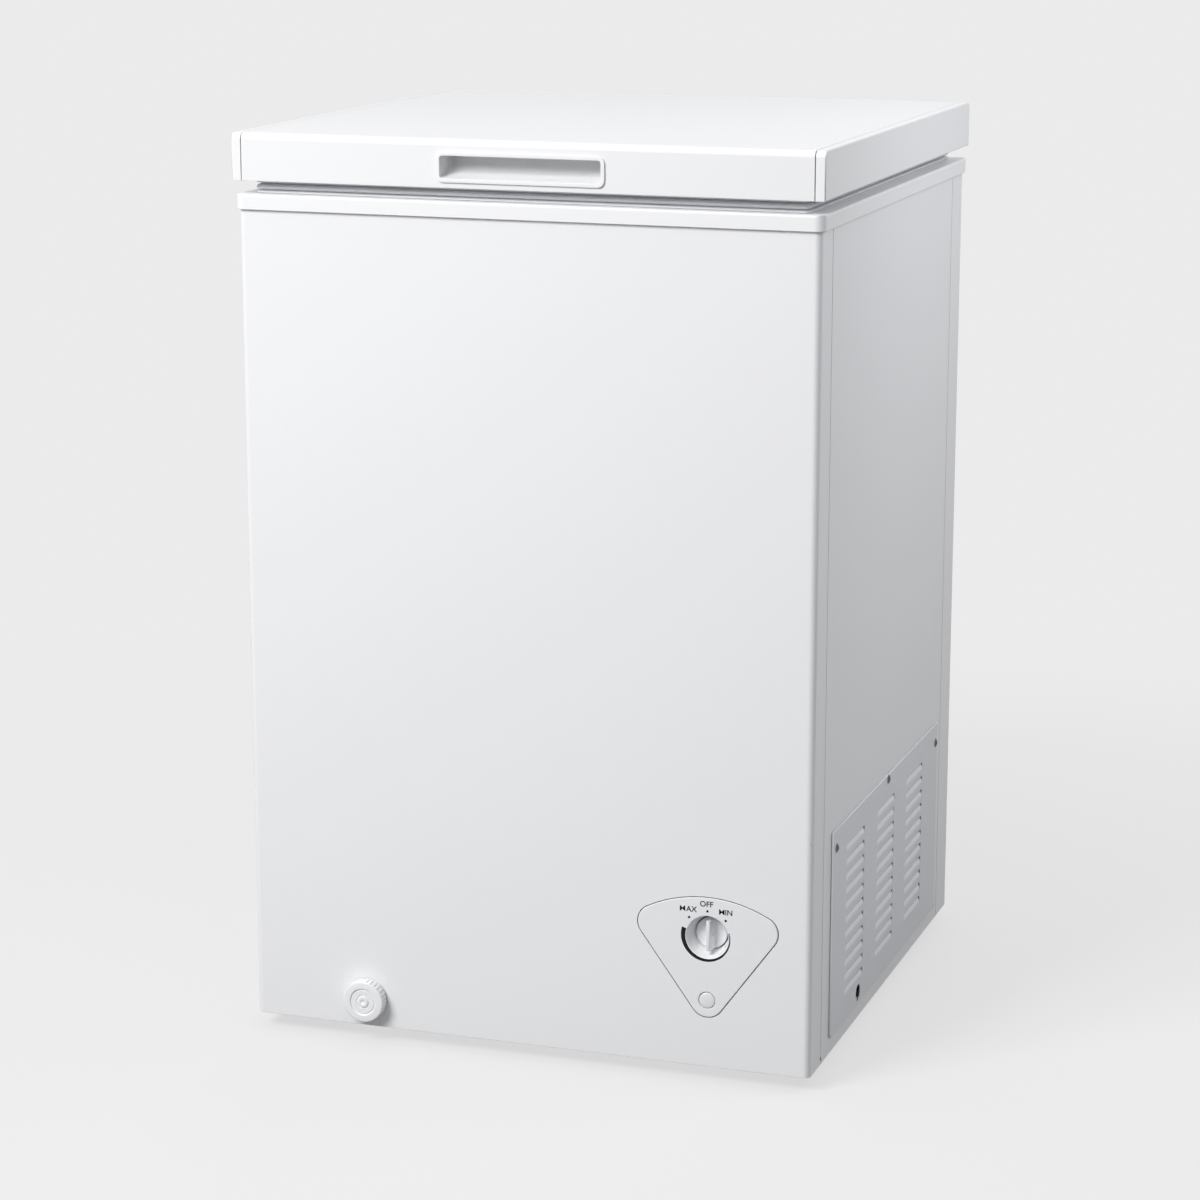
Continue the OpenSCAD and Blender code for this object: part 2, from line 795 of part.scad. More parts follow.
module compressor_bolts() color(bare_steel) mount_places() {
    translate([0, 0, -tray_h + gap]) cylinder(r = bolt_r, h = tray_h + mount_h + foot_plate_t);
    translate([0, 0, mount_h + foot_plate_t]) cylinder(r = mount_r - 1, h = 1.5);
    translate([0, 0, mount_h + foot_plate_t + 1.5]) cylinder(r = bolt_r * 1.8, h = 4, $fn = 6);
}

module compressor() color(black_paint) {
    edge = 16;
    difference() {
        translate([comp_x, comp_y, comp_z - foot_plate_t]) linear_extrude(foot_plate_t)
            rounded_rect(2 * mount_x + 2 * mount_r, 2 * mount_y + 2 * mount_r, mount_r);
        mount_places() cylinder(r = bolt_r + fit, h = 4 * mount_h, center = true);
    }
    translate([comp_x, comp_y, comp_z]) {
        // lower pot, upper pot with a domed lid, and the weld flange between them
        rotate_extrude() union() {
            square([comp_r - edge, comp_h]);
            translate([0, edge / 2]) square([comp_r, comp_h - edge * 1.5]);
            square([comp_r - edge / 2, edge]);
            translate([comp_r - edge / 2, edge / 2]) circle(edge / 2);
            translate([comp_r - edge, comp_h - edge]) circle(edge);
        }
        translate([0, 0, weld_up]) cylinder(r = comp_r + 3, h = weld_h);
    }
    collar_l = 18;
    for (c = [[suction_dx, suction_z], [discharge_dx, discharge_z], [0, process_z]])
        facing_rear(comp_x + c[0], collar_y - collar_l, c[1]) cylinder(r = collar_r, h = collar_l);
}

relay_w = 46;
relay_d = 26;
relay_up = 20;
relay_h = weld_up - relay_up - 1;
relay_z = comp_z + relay_up;
module start_relay() color(black_paint) difference() {
    translate([comp_x - relay_w / 2, comp_y - comp_r - relay_d, relay_z])
        cube([relay_w, relay_d + 14, relay_h]);
    translate([comp_x, comp_y, relay_z - past]) cylinder(r = comp_r + gap / 3, h = relay_h + 2 * past);
}

module discharge_tube() color(copper)
    run_of_tube([[comp_x + discharge_dx, collar_y, discharge_z], [comp_x + discharge_dx, cond_y, discharge_z],
        [comp_x + discharge_dx, cond_y, lead_z]], thin_r, bend_r);

module suction_tube() color(copper)
    run_of_tube([[comp_x + suction_dx, collar_y, suction_z], [comp_x + suction_dx, evap_y, suction_z],
        [comp_x + suction_dx, evap_y, lead_z]], tube_r, bend_r);

module process_tube() color(copper) {
    facing_rear(comp_x, collar_y, process_z) cylinder(r = thin_r, h = 26);
    facing_rear(comp_x, collar_y + 26, process_z)
        translate([-thin_r, -thin_r / 2, 0]) cube([2 * thin_r, thin_r, 8]);
}

evaporator_route = coil_route(evap_out, evap_back, evap_z0, evap_z1, evap_runs,
    comp_x + suction_dx + coil_step, comp_x + suction_dx, comp_x + suction_dx - coil_step, lead_z);
condenser_route = coil_route(cond_out, cond_back, cond_z0, cond_z1, cond_runs,
    comp_x + discharge_dx, comp_x + drier_dx, comp_x + drier_dx - 2 * coil_step, lead_z);

module evaporator_tube() color(aluminium) run_of_tube(evaporator_route, tube_r, bend_r);

module condenser_tube() color(copper) run_of_tube(condenser_route, thin_r, bend_r);

module condenser_outlet_tube() color(copper)
    run_of_tube([[comp_x + drier_dx, cond_y, lead_z], [comp_x + drier_dx, cond_y, drier_z - 24],
        [comp_x + drier_dx, evap_y, drier_z - 24], [comp_x + drier_dx, evap_y, drier_z]], thin_r, bend_r - 2);

module filter_drier() color(copper) translate([comp_x + drier_dx, evap_y, drier_z]) rotate_extrude()
    polygon([[0, 0], [thin_r + 1, 0], [drier_r, 12], [drier_r, drier_l - 12], [thin_r + 1, drier_l],
        [0, drier_l]]);

cap_jog = 16;
cap_bend = 5;
module capillary_tube() color(copper) {
    x0 = comp_x + drier_dx;
    x1 = comp_x + suction_dx + coil_step;
    z0 = drier_z + drier_l;
    z1 = (z0 + lead_z) / 2;
    run_of_tube([[x0, evap_y, z0], [x0, evap_y, z1], [x0, evap_y - cap_jog, z1], [x1, evap_y - cap_jog, z1],
        [x1, evap_y, z1], [x1, evap_y, lead_z]], cap_r, cap_bend);
}

// ---------------------------------------------------------------- controls

// Fan-shaped outline of the control panel, grown by g: three round corners, two straight
// sides that would meet at the apex, and an arched top struck from the apex
module panel_outline(g) {
    h = panel_half_turn;
    r = panel_corner_r;
    reach = panel_arc_r - r;
    a = h - asin(r / reach);
    foot = [0, r / sin(h)];
    translate([knob_x, panel_apex_z]) {
        translate(foot) circle(r + g);
        for (s = [-1, 1]) {
            shoulder = [s * reach * sin(a), reach * cos(a)];
            outward = [s * cos(h), -sin(h)] * (r + g - panel_graze);
            translate(shoulder) circle(r + g);
            polygon([foot, shoulder, shoulder + outward, foot + outward]);
        }
        intersection() {
            circle(panel_arc_r + g - panel_graze);
            polygon([foot, reach * [sin(a), cos(a)], 2 * reach * [sin(a), cos(a)], [0, 3 * panel_arc_r],
                2 * reach * [-sin(a), cos(a)], reach * [-sin(a), cos(a)]]);
        }
    }
}

lens_z = panel_apex_z + panel_corner_r / sin(panel_half_turn);
stat_mid_y = front_y + bowl_d + bowl_t + stat_d / 2;

module control_panel() color(white_plastic) difference() {
    union() {
        along_y(front_y, panel_t) panel_outline(0);
        along_y(front_y + sheet_t, panel_t - sheet_t) panel_outline(panel_flange);
        facing_rear(knob_x, front_y, knob_axis_z)
            cylinder(r1 = bowl_r + bowl_t, r2 = bowl_foot_r + bowl_t, h = bowl_d + bowl_t);
        facing_rear(knob_x, front_y, lens_z) cylinder(r = lens_r + 1.5, h = panel_t + lamp_l / 2);
    }
    facing_rear(knob_x, front_y - fit, knob_axis_z)
        cylinder(r1 = bowl_r, r2 = bowl_foot_r, h = bowl_d + fit);
    facing_rear(knob_x, front_y, knob_axis_z) cylinder(r = bush_r + gap / 2, h = bowl_d + 2 * bowl_t);
    facing_rear(knob_x, front_y - past, lens_z) cylinder(r = lens_r, h = past + lens_t);
    facing_rear(knob_x, front_y, lens_z) cylinder(r = lamp_r + gap / 2, h = panel_t + lamp_l);
}

module indicator_lens() color(white_plastic)
    facing_rear(knob_x, front_y, lens_z) cylinder(r = lens_r - fit, h = lens_t);

module indicator_lamp() color([0.9, 0.5, 0.2])
    facing_rear(knob_x, front_y + lens_t + gap, lens_z) cylinder(r = lamp_r, h = lamp_l);

module thermostat() color(bare_steel) difference() {
    union() {
        translate([knob_x - stat_w / 2, front_y + bowl_d + bowl_t, knob_axis_z - stat_h / 2])
            cube([stat_w, stat_d, stat_h]);
        facing_rear(knob_x, front_y + bowl_d, knob_axis_z) cylinder(r = bush_r, h = bowl_t + stat_d / 2);
    }
    facing_rear(knob_x, front_y, knob_axis_z)
        cylinder(r = shaft_r + fit, h = bowl_d + bowl_t + shaft_in + gap);
}

shaft_in = 20;
knob_face = bowl_d - disc_t - gap;
module thermostat_shaft() color(bare_steel)
    facing_rear(knob_x, front_y + knob_face - 6, knob_axis_z)
        cylinder(r = shaft_r, h = bowl_d + bowl_t + shaft_in - knob_face + 6);

module control_knob() color(white_plastic) difference() {
    union() {
        facing_rear(knob_x, front_y + knob_face, knob_axis_z) cylinder(r = knob_r, h = disc_t);
        // grip that stands across the disc, thinner at its outer edge
        intersection() {
            facing_rear(knob_x, front_y + 1, knob_axis_z) cylinder(r = knob_r - 0.6, h = knob_face);
            translate([knob_x, front_y, knob_axis_z - knob_r]) linear_extrude(2 * knob_r)
                polygon([[-grip_t / 2, knob_face + 1], [-grip_t / 3, 2], [-grip_t / 6, 1], [grip_t / 6, 1],
                    [grip_t / 3, 2], [grip_t / 2, knob_face + 1]]);
        }
    }
    facing_rear(knob_x, front_y + knob_face - 6, knob_axis_z) cylinder(r = shaft_r + fit, h = disc_t + 7);
}

// Temperature sensor laid against the tank above the step
bulb_r = 3;
bulb_l = 100;
bulb_bend = 6;
bulb_y = cab_y - tank_d / 2 - liner_t - gap - bulb_r;
bulb_z = evap_z0 + (evap_z1 - evap_z0) / (evap_runs - 1) / 2;
bulb_lead_route = [[knob_x, stat_mid_y, knob_axis_z + stat_h / 2], [knob_x, stat_mid_y, bulb_z],
    [knob_x, bulb_y, bulb_z], [knob_x - 12, bulb_y, bulb_z]];
module bulb_body(grow) {
    translate([knob_x - 12 - bulb_l - grow, bulb_y, bulb_z]) rotate([0, 90, 0])
        cylinder(r = bulb_r + grow, h = bulb_l + 2 * grow);
}

module thermostat_bulb() color(copper) {
    run_of_tube(bulb_lead_route, cap_r, bulb_bend);
    bulb_body(0);
}

// Wires from the relay to the thermostat and on to the lamp
wire_bundle_r = 2;
wire_bend = 8;
module wiring_harness() color([0.85, 0.85, 0.82]) {
    wire_y = stat_mid_y + stat_d / 2;
    drop_x = bay_x + 16;
    run_of_tube([[comp_x, comp_y - comp_r - relay_d, relay_z + 14],
        [comp_x, comp_y - comp_r - relay_d - 24, relay_z + 14],
        [drop_x, comp_y - comp_r - relay_d - 24, relay_z + 14], [drop_x, wire_y + 24, relay_z + 14],
        [drop_x, wire_y + 24, knob_axis_z], [knob_x + 8, wire_y + 24, knob_axis_z],
        [knob_x + 8, wire_y, knob_axis_z]], wire_bundle_r, wire_bend);
    run_of_tube([[knob_x - 8, wire_y, knob_axis_z - 10], [knob_x - 8, wire_y + 20, knob_axis_z - 10],
        [knob_x - 8, wire_y + 20, lens_z], [knob_x, wire_y + 20, lens_z],
        [knob_x, front_y + lens_t + gap + lamp_l, lens_z]], wire_bundle_r * 0.7, wire_bend / 2);
}

module cord_grommet() color(dark_rubber) facing_rear(grommet_x, rear_y, grommet_z) rotate_extrude()
    polygon([[grommet_bore, -4], [grommet_r + 3, -4], [grommet_r + 3, -sheet_t], [grommet_r - fit, -sheet_t],
        [grommet_r - fit, 0], [grommet_r + 3, 0], [grommet_r + 2, 5], [grommet_bore, 5]]);
grommet_bore = 4.2;

// ---------------------------------------------------------------- drain

drain_bend = 13;
function drain_route(more) = [[drain_x, drain_y, tank_z - socket_l + tube_in_socket + more],
    [drain_x, drain_y, drain_axis_z], [drain_x, front_y + sleeve_l - tube_in_sleeve - more, drain_axis_z]];

module drain_tube() color(white_plastic) difference() {
    run_of_tube(drain_route(0), spout_r, drain_bend);
    run_of_tube(drain_route(past), spout_bore, drain_bend);
}

module drain_sleeve() color(white_plastic) difference() {
    union() {
        facing_rear(drain_x, front_y, drain_axis_z) cylinder(r = sleeve_r, h = sleeve_l);
        facing_rear(drain_x, front_y - sleeve_flange, drain_axis_z)
            cylinder(r = sleeve_r + 4, h = sleeve_flange);
    }
    facing_rear(drain_x, front_y - 2 * sleeve_flange, drain_axis_z)
        cylinder(r = spout_r + fit, h = sleeve_l + 4 * sleeve_flange);
}

module drain_socket() color(white_plastic) translate([drain_x, drain_y, tank_z]) rotate_extrude()
    polygon([[spout_r + fit, -socket_l], [socket_r, -socket_l], [socket_r, 0], [socket_r + 5, 0],
        [socket_r + 4, socket_flange], [spout_r + fit, socket_flange]]);

module drain_plug() color(dark_rubber) translate([drain_x, drain_y, tank_z + socket_flange + fit]) {
    rotate_extrude() polygon([[0, -plug_stem], [spout_r - 1, -plug_stem], [spout_r, -plug_stem + 1],
        [spout_r, 0], [socket_r + 3, 0], [socket_r + 2, 3], [0, 3]]);
    translate([-7, -1.5, 3]) cube([14, 3, 6]);
}

module drain_spout() color(white_plastic) facing_rear(drain_x, spout_front, drain_axis_z) difference() {
    cylinder(r = spout_r, h = spout_l);
    translate([0, 0, 2]) cylinder(r = spout_bore, h = spout_l);
    // outlet near the closed end, under the dial
    translate([0, 0, 5]) rotate([-90, 0, 0]) cylinder(r = outlet_r, h = 2 * spout_r);
}

outlet_r = 2.6;
dial_notches = 30;
module drain_dial() color(white_plastic) {
    depth = dial_proud - sleeve_flange - gap;
    facing_rear(drain_x, front_y - dial_proud, drain_axis_z) difference() {
        union() {
            difference() {
                rotate_extrude() {
                    square([dial_r - 1.5, depth]);
                    translate([0, 1.5]) square([dial_r, depth - 1.5]);
                    translate([dial_r - 1.5, 1.5]) circle(1.5);
                }
                translate([0, 0, dial_face]) cylinder(r = dial_r - dial_wall, h = depth);
            }
            cylinder(r = sleeve_r, h = depth);
        }
        translate([0, 0, dial_face]) cylinder(r = spout_r + fit, h = depth);
        // water outlet, at the top while the drain is shut
        translate([0, 0, dial_face + gap + 5]) rotate([90, 0, 0]) cylinder(r = outlet_r, h = 2 * dial_r);
        for (r = [0.62, 0.3] * dial_r) rotate_extrude() translate([r, 0]) circle(0.7);
        translate([0, 0, -2.6]) sphere(4);
        for (k = [0 : dial_notches - 1])
            rotate([0, 0, (k + 0.5) * 360 / dial_notches]) translate([dial_r + 0.35, 0, 3])
                cylinder(r = 0.9, h = depth);
    }
}

// ---------------------------------------------------------------- hinges

module each_hinge() {
    for (s = [-1, 1]) translate([s * hinge_x, 0, 0]) children();
}

module bracket_screw_places() {
    each_hinge() for (x = [-18, 18], z = [12, 42])
        translate([x, rear_y + bracket_t, bracket_top - bracket_h + z]) rotate([-90, 0, 0]) children();
}

module leaf_screw_places() {
    each_hinge() for (x = [-20, 20], z = [9, leaf_h - 9])
        translate([x, rear_y + lid_proud + leaf_t, leaf_z + z]) rotate([-90, 0, 0]) children();
}

module hinge_brackets() color(bare_steel) difference() {
    each_hinge() {
        translate([-bracket_w / 2, rear_y, bracket_top - bracket_h]) cube([bracket_w, bracket_t, bracket_h]);
        for (x = [-bracket_w / 2, bracket_w / 2 - ear_t]) along_x(x, ear_t) ear_outline();
    }
    bracket_screw_places() cylinder(r = small_shank_r + fit, h = 4 * bracket_t, center = true);
    pin_places() cylinder(r = pin_r + fit, h = 2 * bracket_w, center = true);
}

// Side view of an ear: it clears the top frame and rises to the pin
module ear_outline() {
    translate([axis_y, axis_z]) circle(ear_r);
    polygon([[rear_y, bracket_top - bracket_h + 14], [rear_y, bracket_top], [axis_y - ear_r, trim_z + 1],
        [axis_y - ear_r, axis_z], [axis_y + ear_r, axis_z]]);
}

module pin_places() {
    each_hinge() translate([0, axis_y, axis_z]) rotate([0, 90, 0]) children();
}

module hinge_pins() color(bare_steel) pin_places() {
    cylinder(r = pin_r, h = bracket_w + 3, center = true);
    translate([0, 0, bracket_w / 2]) cylinder(r = pin_r + 2, h = 2);
}

module hinge_springs() color(bare_steel) each_hinge() for (s = [-1, 1]) {
    inner = s * (knuckle_w / 2 + gap + spring_wire);
    for (k = [0 : spring_coils - 1])
        translate([inner + s * k * spring_step, axis_y, axis_z]) rotate([0, 90, 0])
            rotate_extrude() translate([spring_r, 0]) circle(spring_wire);
    run_of_tube([[inner, axis_y - spring_r, axis_z], [inner, axis_y - spring_r, axis_z - spring_leg],
        [inner, rear_y + bracket_t, axis_z - spring_leg]], spring_leg_r, 2.2);
}

module bracket_screws() color(bare_steel) bracket_screw_places()
    pan_screw(small_screw_r, small_screw_head, small_shank_r, small_screw_l);

module leaf_screws() color(bare_steel) leaf_screw_places()
    pan_screw(small_screw_r, small_screw_head, small_shank_r, small_screw_l);

module lid_hinge_leaves() color(bare_steel) difference() {
    face_y = rear_y + lid_proud;
    each_hinge() {
        translate([-leaf_w / 2, face_y, leaf_z]) cube([leaf_w, leaf_t, leaf_h]);
        along_x(-knuckle_w / 2, knuckle_w) {
            translate([axis_y, axis_z]) circle(knuckle_r);
            polygon([[face_y, leaf_z + 6], [face_y + leaf_t, leaf_z + 6],
                [axis_y + knuckle_r - 1, axis_z + 3],
                [axis_y - knuckle_r + 1, axis_z], [face_y, lid_z + 2]]);
        }
    }
    leaf_screw_places() cylinder(r = small_shank_r + fit, h = 4 * leaf_t, center = true);
    pin_places() cylinder(r = pin_r + fit, h = 2 * knuckle_w, center = true);
}

// ---------------------------------------------------------------- lid

// The lid's outer form, drawn in by a wall and with its own lower face
module lid_form(inset, z0) {
    round_top_block(lid_w - 2 * inset, lid_d - 2 * inset, z0, total_h - inset,
        max(lid_corner_r - inset, 1), max(lid_edge_r - inset, 1));
}

// Hollow lid skin between two walls' depths, with a lip turned in under its edge
module lid_skin(outer, inner) {
    difference() {
        lid_form(outer, lid_z + outer);
        lid_form(inner, lid_z + inner);
        translate([0, cab_y, lid_z - past]) linear_extrude(inner + 2 * past)
            rounded_rect(lid_w - 2 * lid_lip, lid_d - 2 * lid_lip, lid_corner_r);
    }
}

// The part of the lid between two distances from its middle, on one side or on both
module lid_slab(x0, x1) {
    translate([x0, lid_front - past - handle_proud, lid_z - past])
        cube([x1 - x0, lid_d + 4 * past, lid_h + 2 * past]);
}

cap_x = lid_w / 2 - cap_w;
module lid_cover() color(paint) difference() {
    intersection() {
        lid_skin(0, sheet_t);
        lid_slab(-cap_x + groove, cap_x - groove);
    }
    handle_cut(gap / 2);
    leaf_screw_places() cylinder(r = small_shank_r + fit, h = 20, center = true);
}

module end_cap(s) {
    intersection() {
        lid_skin(0, cap_t);
        lid_slab(s > 0 ? cap_x : -lid_w, s > 0 ? lid_w : -cap_x);
    }
    intersection() {
        lid_skin(sheet_t, cap_t);
        lid_slab(s > 0 ? cap_x - tongue : -cap_x - past, s > 0 ? cap_x + past : -cap_x + tongue);
    }
}

module lid_end_cap_left() color(white_plastic) end_cap(-1);

module lid_end_cap_right() color(white_plastic) end_cap(1);

module lid_liner() color(white_plastic) difference() {
    union() {
        translate([0, cab_y, lid_z]) linear_extrude(cap_t)
            rounded_rect(lid_w - 2 * lid_lip - 2 * gap, lid_d - 2 * lid_lip - 2 * gap, lid_corner_r - gap);
        translate([0, cab_y, lid_z - plug_drop])
            linear_extrude(plug_drop) rounded_rect(plug_w, plug_d, plug_r);
    }
    lid_pan_space();
    // shallow field pressed into the underside
    translate([0, cab_y, lid_z - plug_drop - past]) linear_extrude(past + 1) difference() {
        rounded_rect(plug_w - 50, plug_d - 50, plug_r);
        rounded_rect(plug_w - 66, plug_d - 66, plug_r - 8);
    }
}

module lid_pan_space() {
    translate([0, cab_y, lid_z - plug_drop + plug_t]) linear_extrude(plug_drop + cap_t)
        rounded_rect(plug_w - 2 * plug_t, plug_d - 2 * plug_t, plug_r - plug_t);
}

module lid_foam() color(foam_colour) difference() {
    union() {
        lid_form(cap_t, lid_z + cap_t);
        intersection() {
            lid_form(sheet_t, lid_z + cap_t);
            lid_slab(-cap_x + tongue, cap_x - tongue);
        }
        translate([0, cab_y, lid_z - plug_drop + plug_t]) linear_extrude(plug_drop - plug_t + cap_t)
            rounded_rect(plug_w - 2 * plug_t, plug_d - 2 * plug_t, plug_r - plug_t);
    }
    handle_cup(handle_wall);
    leaf_screw_places() cylinder(r = small_shank_r + gap / 2, h = 40, center = true);
}

// Gasket: a magnet pocket that lies on the frame, a bellows rib and a foot under the lid,
// all strung on one web
seal_web = 3.2;
seal_ribs = [[0, 0.36], [0.48, 0.6], [0.78, 1]];
module seal_ring(inset, from, to) {
    tall = seal_gap - fit;
    a = seal_inset + inset;
    b = seal_inset + seal_w - inset;
    translate([0, cab_y, trim_top + fit + tall * from]) linear_extrude(tall * (to - from)) difference() {
        rounded_rect(lid_w - 2 * a, lid_d - 2 * a, seal_r);
        rounded_rect(lid_w - 2 * b, lid_d - 2 * b, seal_r);
    }
}

seal_r = 5;
module lid_gasket() color(grey_rubber) {
    seal_ring(seal_web, 0, 1);
    for (rib = seal_ribs) seal_ring(0, rib[0], rib[1]);
}

module handle_rect(inset) {
    translate([0, handle_z + handle_h / 2])
        rounded_rect(handle_w - 2 * inset, handle_h - 2 * inset, max(handle_r - inset, 1));
}

module handle_cut(grow) {
    along_y(lid_front - past, 2 * past + sheet_t) handle_rect(handle_rim - handle_wall - grow);
}

// Finger recess, grown by a wall: straight at the front, scooped at its back
module handle_cup(grow) {
    deep = handle_depth + grow;
    half = handle_h / 2 - handle_rim + grow;
    intersection() {
        along_y(lid_front - past - handle_proud, deep + past + handle_proud) handle_rect(handle_rim - grow);
        along_x(-handle_w, 2 * handle_w)
            translate([lid_front + deep - handle_depth, handle_z + handle_h / 2])
                rounded_rect(2 * handle_depth, 2 * half, handle_scoop);
    }
}

module handle_insert() color(white_plastic) difference() {
    union() {
        along_y(lid_front - handle_proud, handle_proud) handle_rect(0);
        intersection() {
            handle_cup(handle_wall);
            translate([-handle_w, lid_front, lid_z])
                cube([2 * handle_w, handle_depth + 2 * handle_wall, lid_h]);
        }
    }
    handle_cup(0);
}

// ---------------------------------------------------------------- basket

// Rectangle of round wire, laid flat with its centre line on the rim's
module rim_loop(z) {
    a = basket_w / 2 - wire_r;
    b = basket_d / 2 - wire_r;
    translate([basket_mid, cab_y, z])
        run_of_tube([[0, -b, 0], [a, -b, 0], [a, b, 0], [-a, b, 0], [-a, -b, 0], [0, -b, 0]],
            wire_r, basket_r);
}

// Wires are welded where they cross, so each bites a little into the next
bite = 0.8;
module wire_basket() color(white_plastic) {
    a = basket_w / 2 - 3 * wire_r + bite;
    b = basket_d / 2 - 3 * wire_r + bite;
    low = basket_floor + wire_r;
    rim_loop(basket_top);
    rim_loop(basket_top - basket_h * 0.45);
    translate([basket_mid, cab_y, 0]) {
        for (k = [0 : wires_across - 1]) {
            y = 2 * (b - basket_r) * (k / (wires_across - 1) - 0.5);
            run_of_tube([[-a, y, basket_top], [-a, y, low + 2 * wire_r - bite],
                [a, y, low + 2 * wire_r - bite], [a, y, basket_top]], wire_r, basket_r);
        }
        for (k = [0 : wires_along - 1]) {
            x = 2 * (a - 2 * basket_r) * (k / (wires_along - 1) - 0.5);
            run_of_tube([[x, -b, basket_top], [x, -b, low], [x, b, low], [x, b, basket_top]],
                wire_r, basket_r);
        }
        // four hooks that hang on the top frame and slide along it
        for (sx = [-1, 1], sy = [-1, 1]) {
            x = sx * hook_x;
            run_of_tube([[x, sy * (basket_d / 2 - wire_r), basket_top], [x, sy * hook_y, basket_top],
                [x, sy * hook_y, hook_z], [x, sy * (hook_y + hook_rest), hook_z]], wire_r, wire_r + 0.5);
        }
    }
}

// ---------------------------------------------------------------- nodes

front_panel();
left_side_panel();
right_side_panel();
rear_panel();
base_pan();
top_trim();
inner_liner();
cabinet_foam();
machine_bulkhead();
vent_cover();
vent_cover_screws();
feet();
compressor_tray();
compressor();
compressor_mounts();
compressor_bolts();
start_relay();
process_tube();
discharge_tube();
suction_tube();
condenser_tube();
condenser_outlet_tube();
filter_drier();
capillary_tube();
evaporator_tube();
thermostat();
thermostat_bulb();
wiring_harness();
control_panel();
indicator_lens();
indicator_lamp();
drain_sleeve();
drain_tube();
drain_socket();
cord_grommet();
hinge_brackets();
hinge_pins();
hinge_springs();
bracket_screws();
lid_cover();
lid_end_cap_left();
lid_end_cap_right();
lid_liner();
lid_foam();
lid_gasket();
handle_insert();
lid_hinge_leaves();
leaf_screws();
control_knob();
thermostat_shaft();
drain_spout();
drain_dial();
drain_plug();
wire_basket();
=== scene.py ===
# Chest freezer: camera, light, and every visible piece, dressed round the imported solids.
import math

import bmesh
import bpy
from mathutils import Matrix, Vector


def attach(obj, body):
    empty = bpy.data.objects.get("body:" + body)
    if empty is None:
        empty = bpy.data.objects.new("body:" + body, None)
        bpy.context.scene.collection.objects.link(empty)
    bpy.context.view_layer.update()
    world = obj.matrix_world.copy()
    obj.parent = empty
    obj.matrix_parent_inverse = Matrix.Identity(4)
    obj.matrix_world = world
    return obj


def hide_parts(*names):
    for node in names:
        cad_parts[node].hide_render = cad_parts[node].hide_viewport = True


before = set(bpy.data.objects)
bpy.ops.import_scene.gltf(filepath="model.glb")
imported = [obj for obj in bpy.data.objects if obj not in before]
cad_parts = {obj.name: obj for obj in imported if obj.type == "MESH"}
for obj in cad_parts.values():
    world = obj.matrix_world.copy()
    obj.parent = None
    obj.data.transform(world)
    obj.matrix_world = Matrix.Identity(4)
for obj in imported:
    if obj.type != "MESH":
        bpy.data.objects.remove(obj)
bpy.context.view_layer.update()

scene = bpy.context.scene

# ---------------------------------------------------------------- camera
# A long lens somewhat higher than the lid, to the right of the middle and turned back towards
# the freezer, so that its front, its right side and the top of the lid all show.
EYE = (1.0188, -3.0291, 1.1188)    # where the camera stands, in metres
TURN = 0.3306                      # radians away from straight ahead
TILT = 0.2275                      # radians below level
camera_data = bpy.data.cameras.new("camera")
camera_data.sensor_width = 36
camera_data.lens = 100.45
camera_data.clip_end = 200
camera = bpy.data.objects.new("camera", camera_data)
scene.collection.objects.link(camera)
scene.camera = camera
camera.location = EYE
ahead = Vector((-math.sin(TURN) * math.cos(TILT), math.cos(TURN) * math.cos(TILT),
                -math.sin(TILT)))
camera.rotation_euler = ahead.to_track_quat("-Z", "Y").to_euler()

# ---------------------------------------------------------------- light, floor and backdrop
# A white room that is brighter overhead, a broad soft lamp high at the front left, a small one
# beside the right side, a low one behind, and a matt pale floor that keeps the freezer's
# shadow and fades out.
BACKDROP = (0.831, 0.831, 0.831, 1)
ROOM_TINT = (0.955, 0.965, 1, 1)
LEVEL_LIGHT, OVERHEAD_LIGHT = 0.09, 0.73     # how strong the room is all round and overhead
scene.view_settings.view_transform = "Standard"


def shown_rays(nodes, wire):
    """A mask of 1 where the camera looks, straight on or by way of metal and glass, and of 0
    where light only lands."""
    rays = nodes.new("ShaderNodeLightPath")
    mirrored = nodes.new("ShaderNodeMath")
    mirrored.operation = "MAXIMUM"
    wire(rays.outputs["Is Glossy Ray"], mirrored.inputs[0])
    wire(rays.outputs["Is Transmission Ray"], mirrored.inputs[1])
    seen = nodes.new("ShaderNodeMath")
    seen.operation = "MAXIMUM"
    wire(rays.outputs["Is Camera Ray"], seen.inputs[0])
    wire(mirrored.outputs[0], seen.inputs[1])
    return seen.outputs[0]


world = bpy.data.worlds.new("room")
scene.world = world
world.use_nodes = True
room = world.node_tree.nodes
wire = world.node_tree.links.new
room.clear()
facing = room.new("ShaderNodeTexCoord")
up = room.new("ShaderNodeSeparateXYZ")
wire(facing.outputs["Generated"], up.inputs[0])
overhead = room.new("ShaderNodeMapRange")
overhead.inputs["From Min"].default_value = 0
overhead.inputs["From Max"].default_value = 1
overhead.inputs["To Min"].default_value = LEVEL_LIGHT
overhead.inputs["To Max"].default_value = OVERHEAD_LIGHT
wire(up.outputs["Z"], overhead.inputs["Value"])
ambient = room.new("ShaderNodeBackground")
ambient.inputs["Color"].default_value = ROOM_TINT
wire(overhead.outputs[0], ambient.inputs["Strength"])
backdrop = room.new("ShaderNodeBackground")
backdrop.inputs["Color"].default_value = BACKDROP
either = room.new("ShaderNodeMixShader")
wire(shown_rays(room, wire), either.inputs[0])
wire(ambient.outputs[0], either.inputs[1])
wire(backdrop.outputs[0], either.inputs[2])
world_out = room.new("ShaderNodeOutputWorld")
wire(either.outputs[0], world_out.inputs["Surface"])

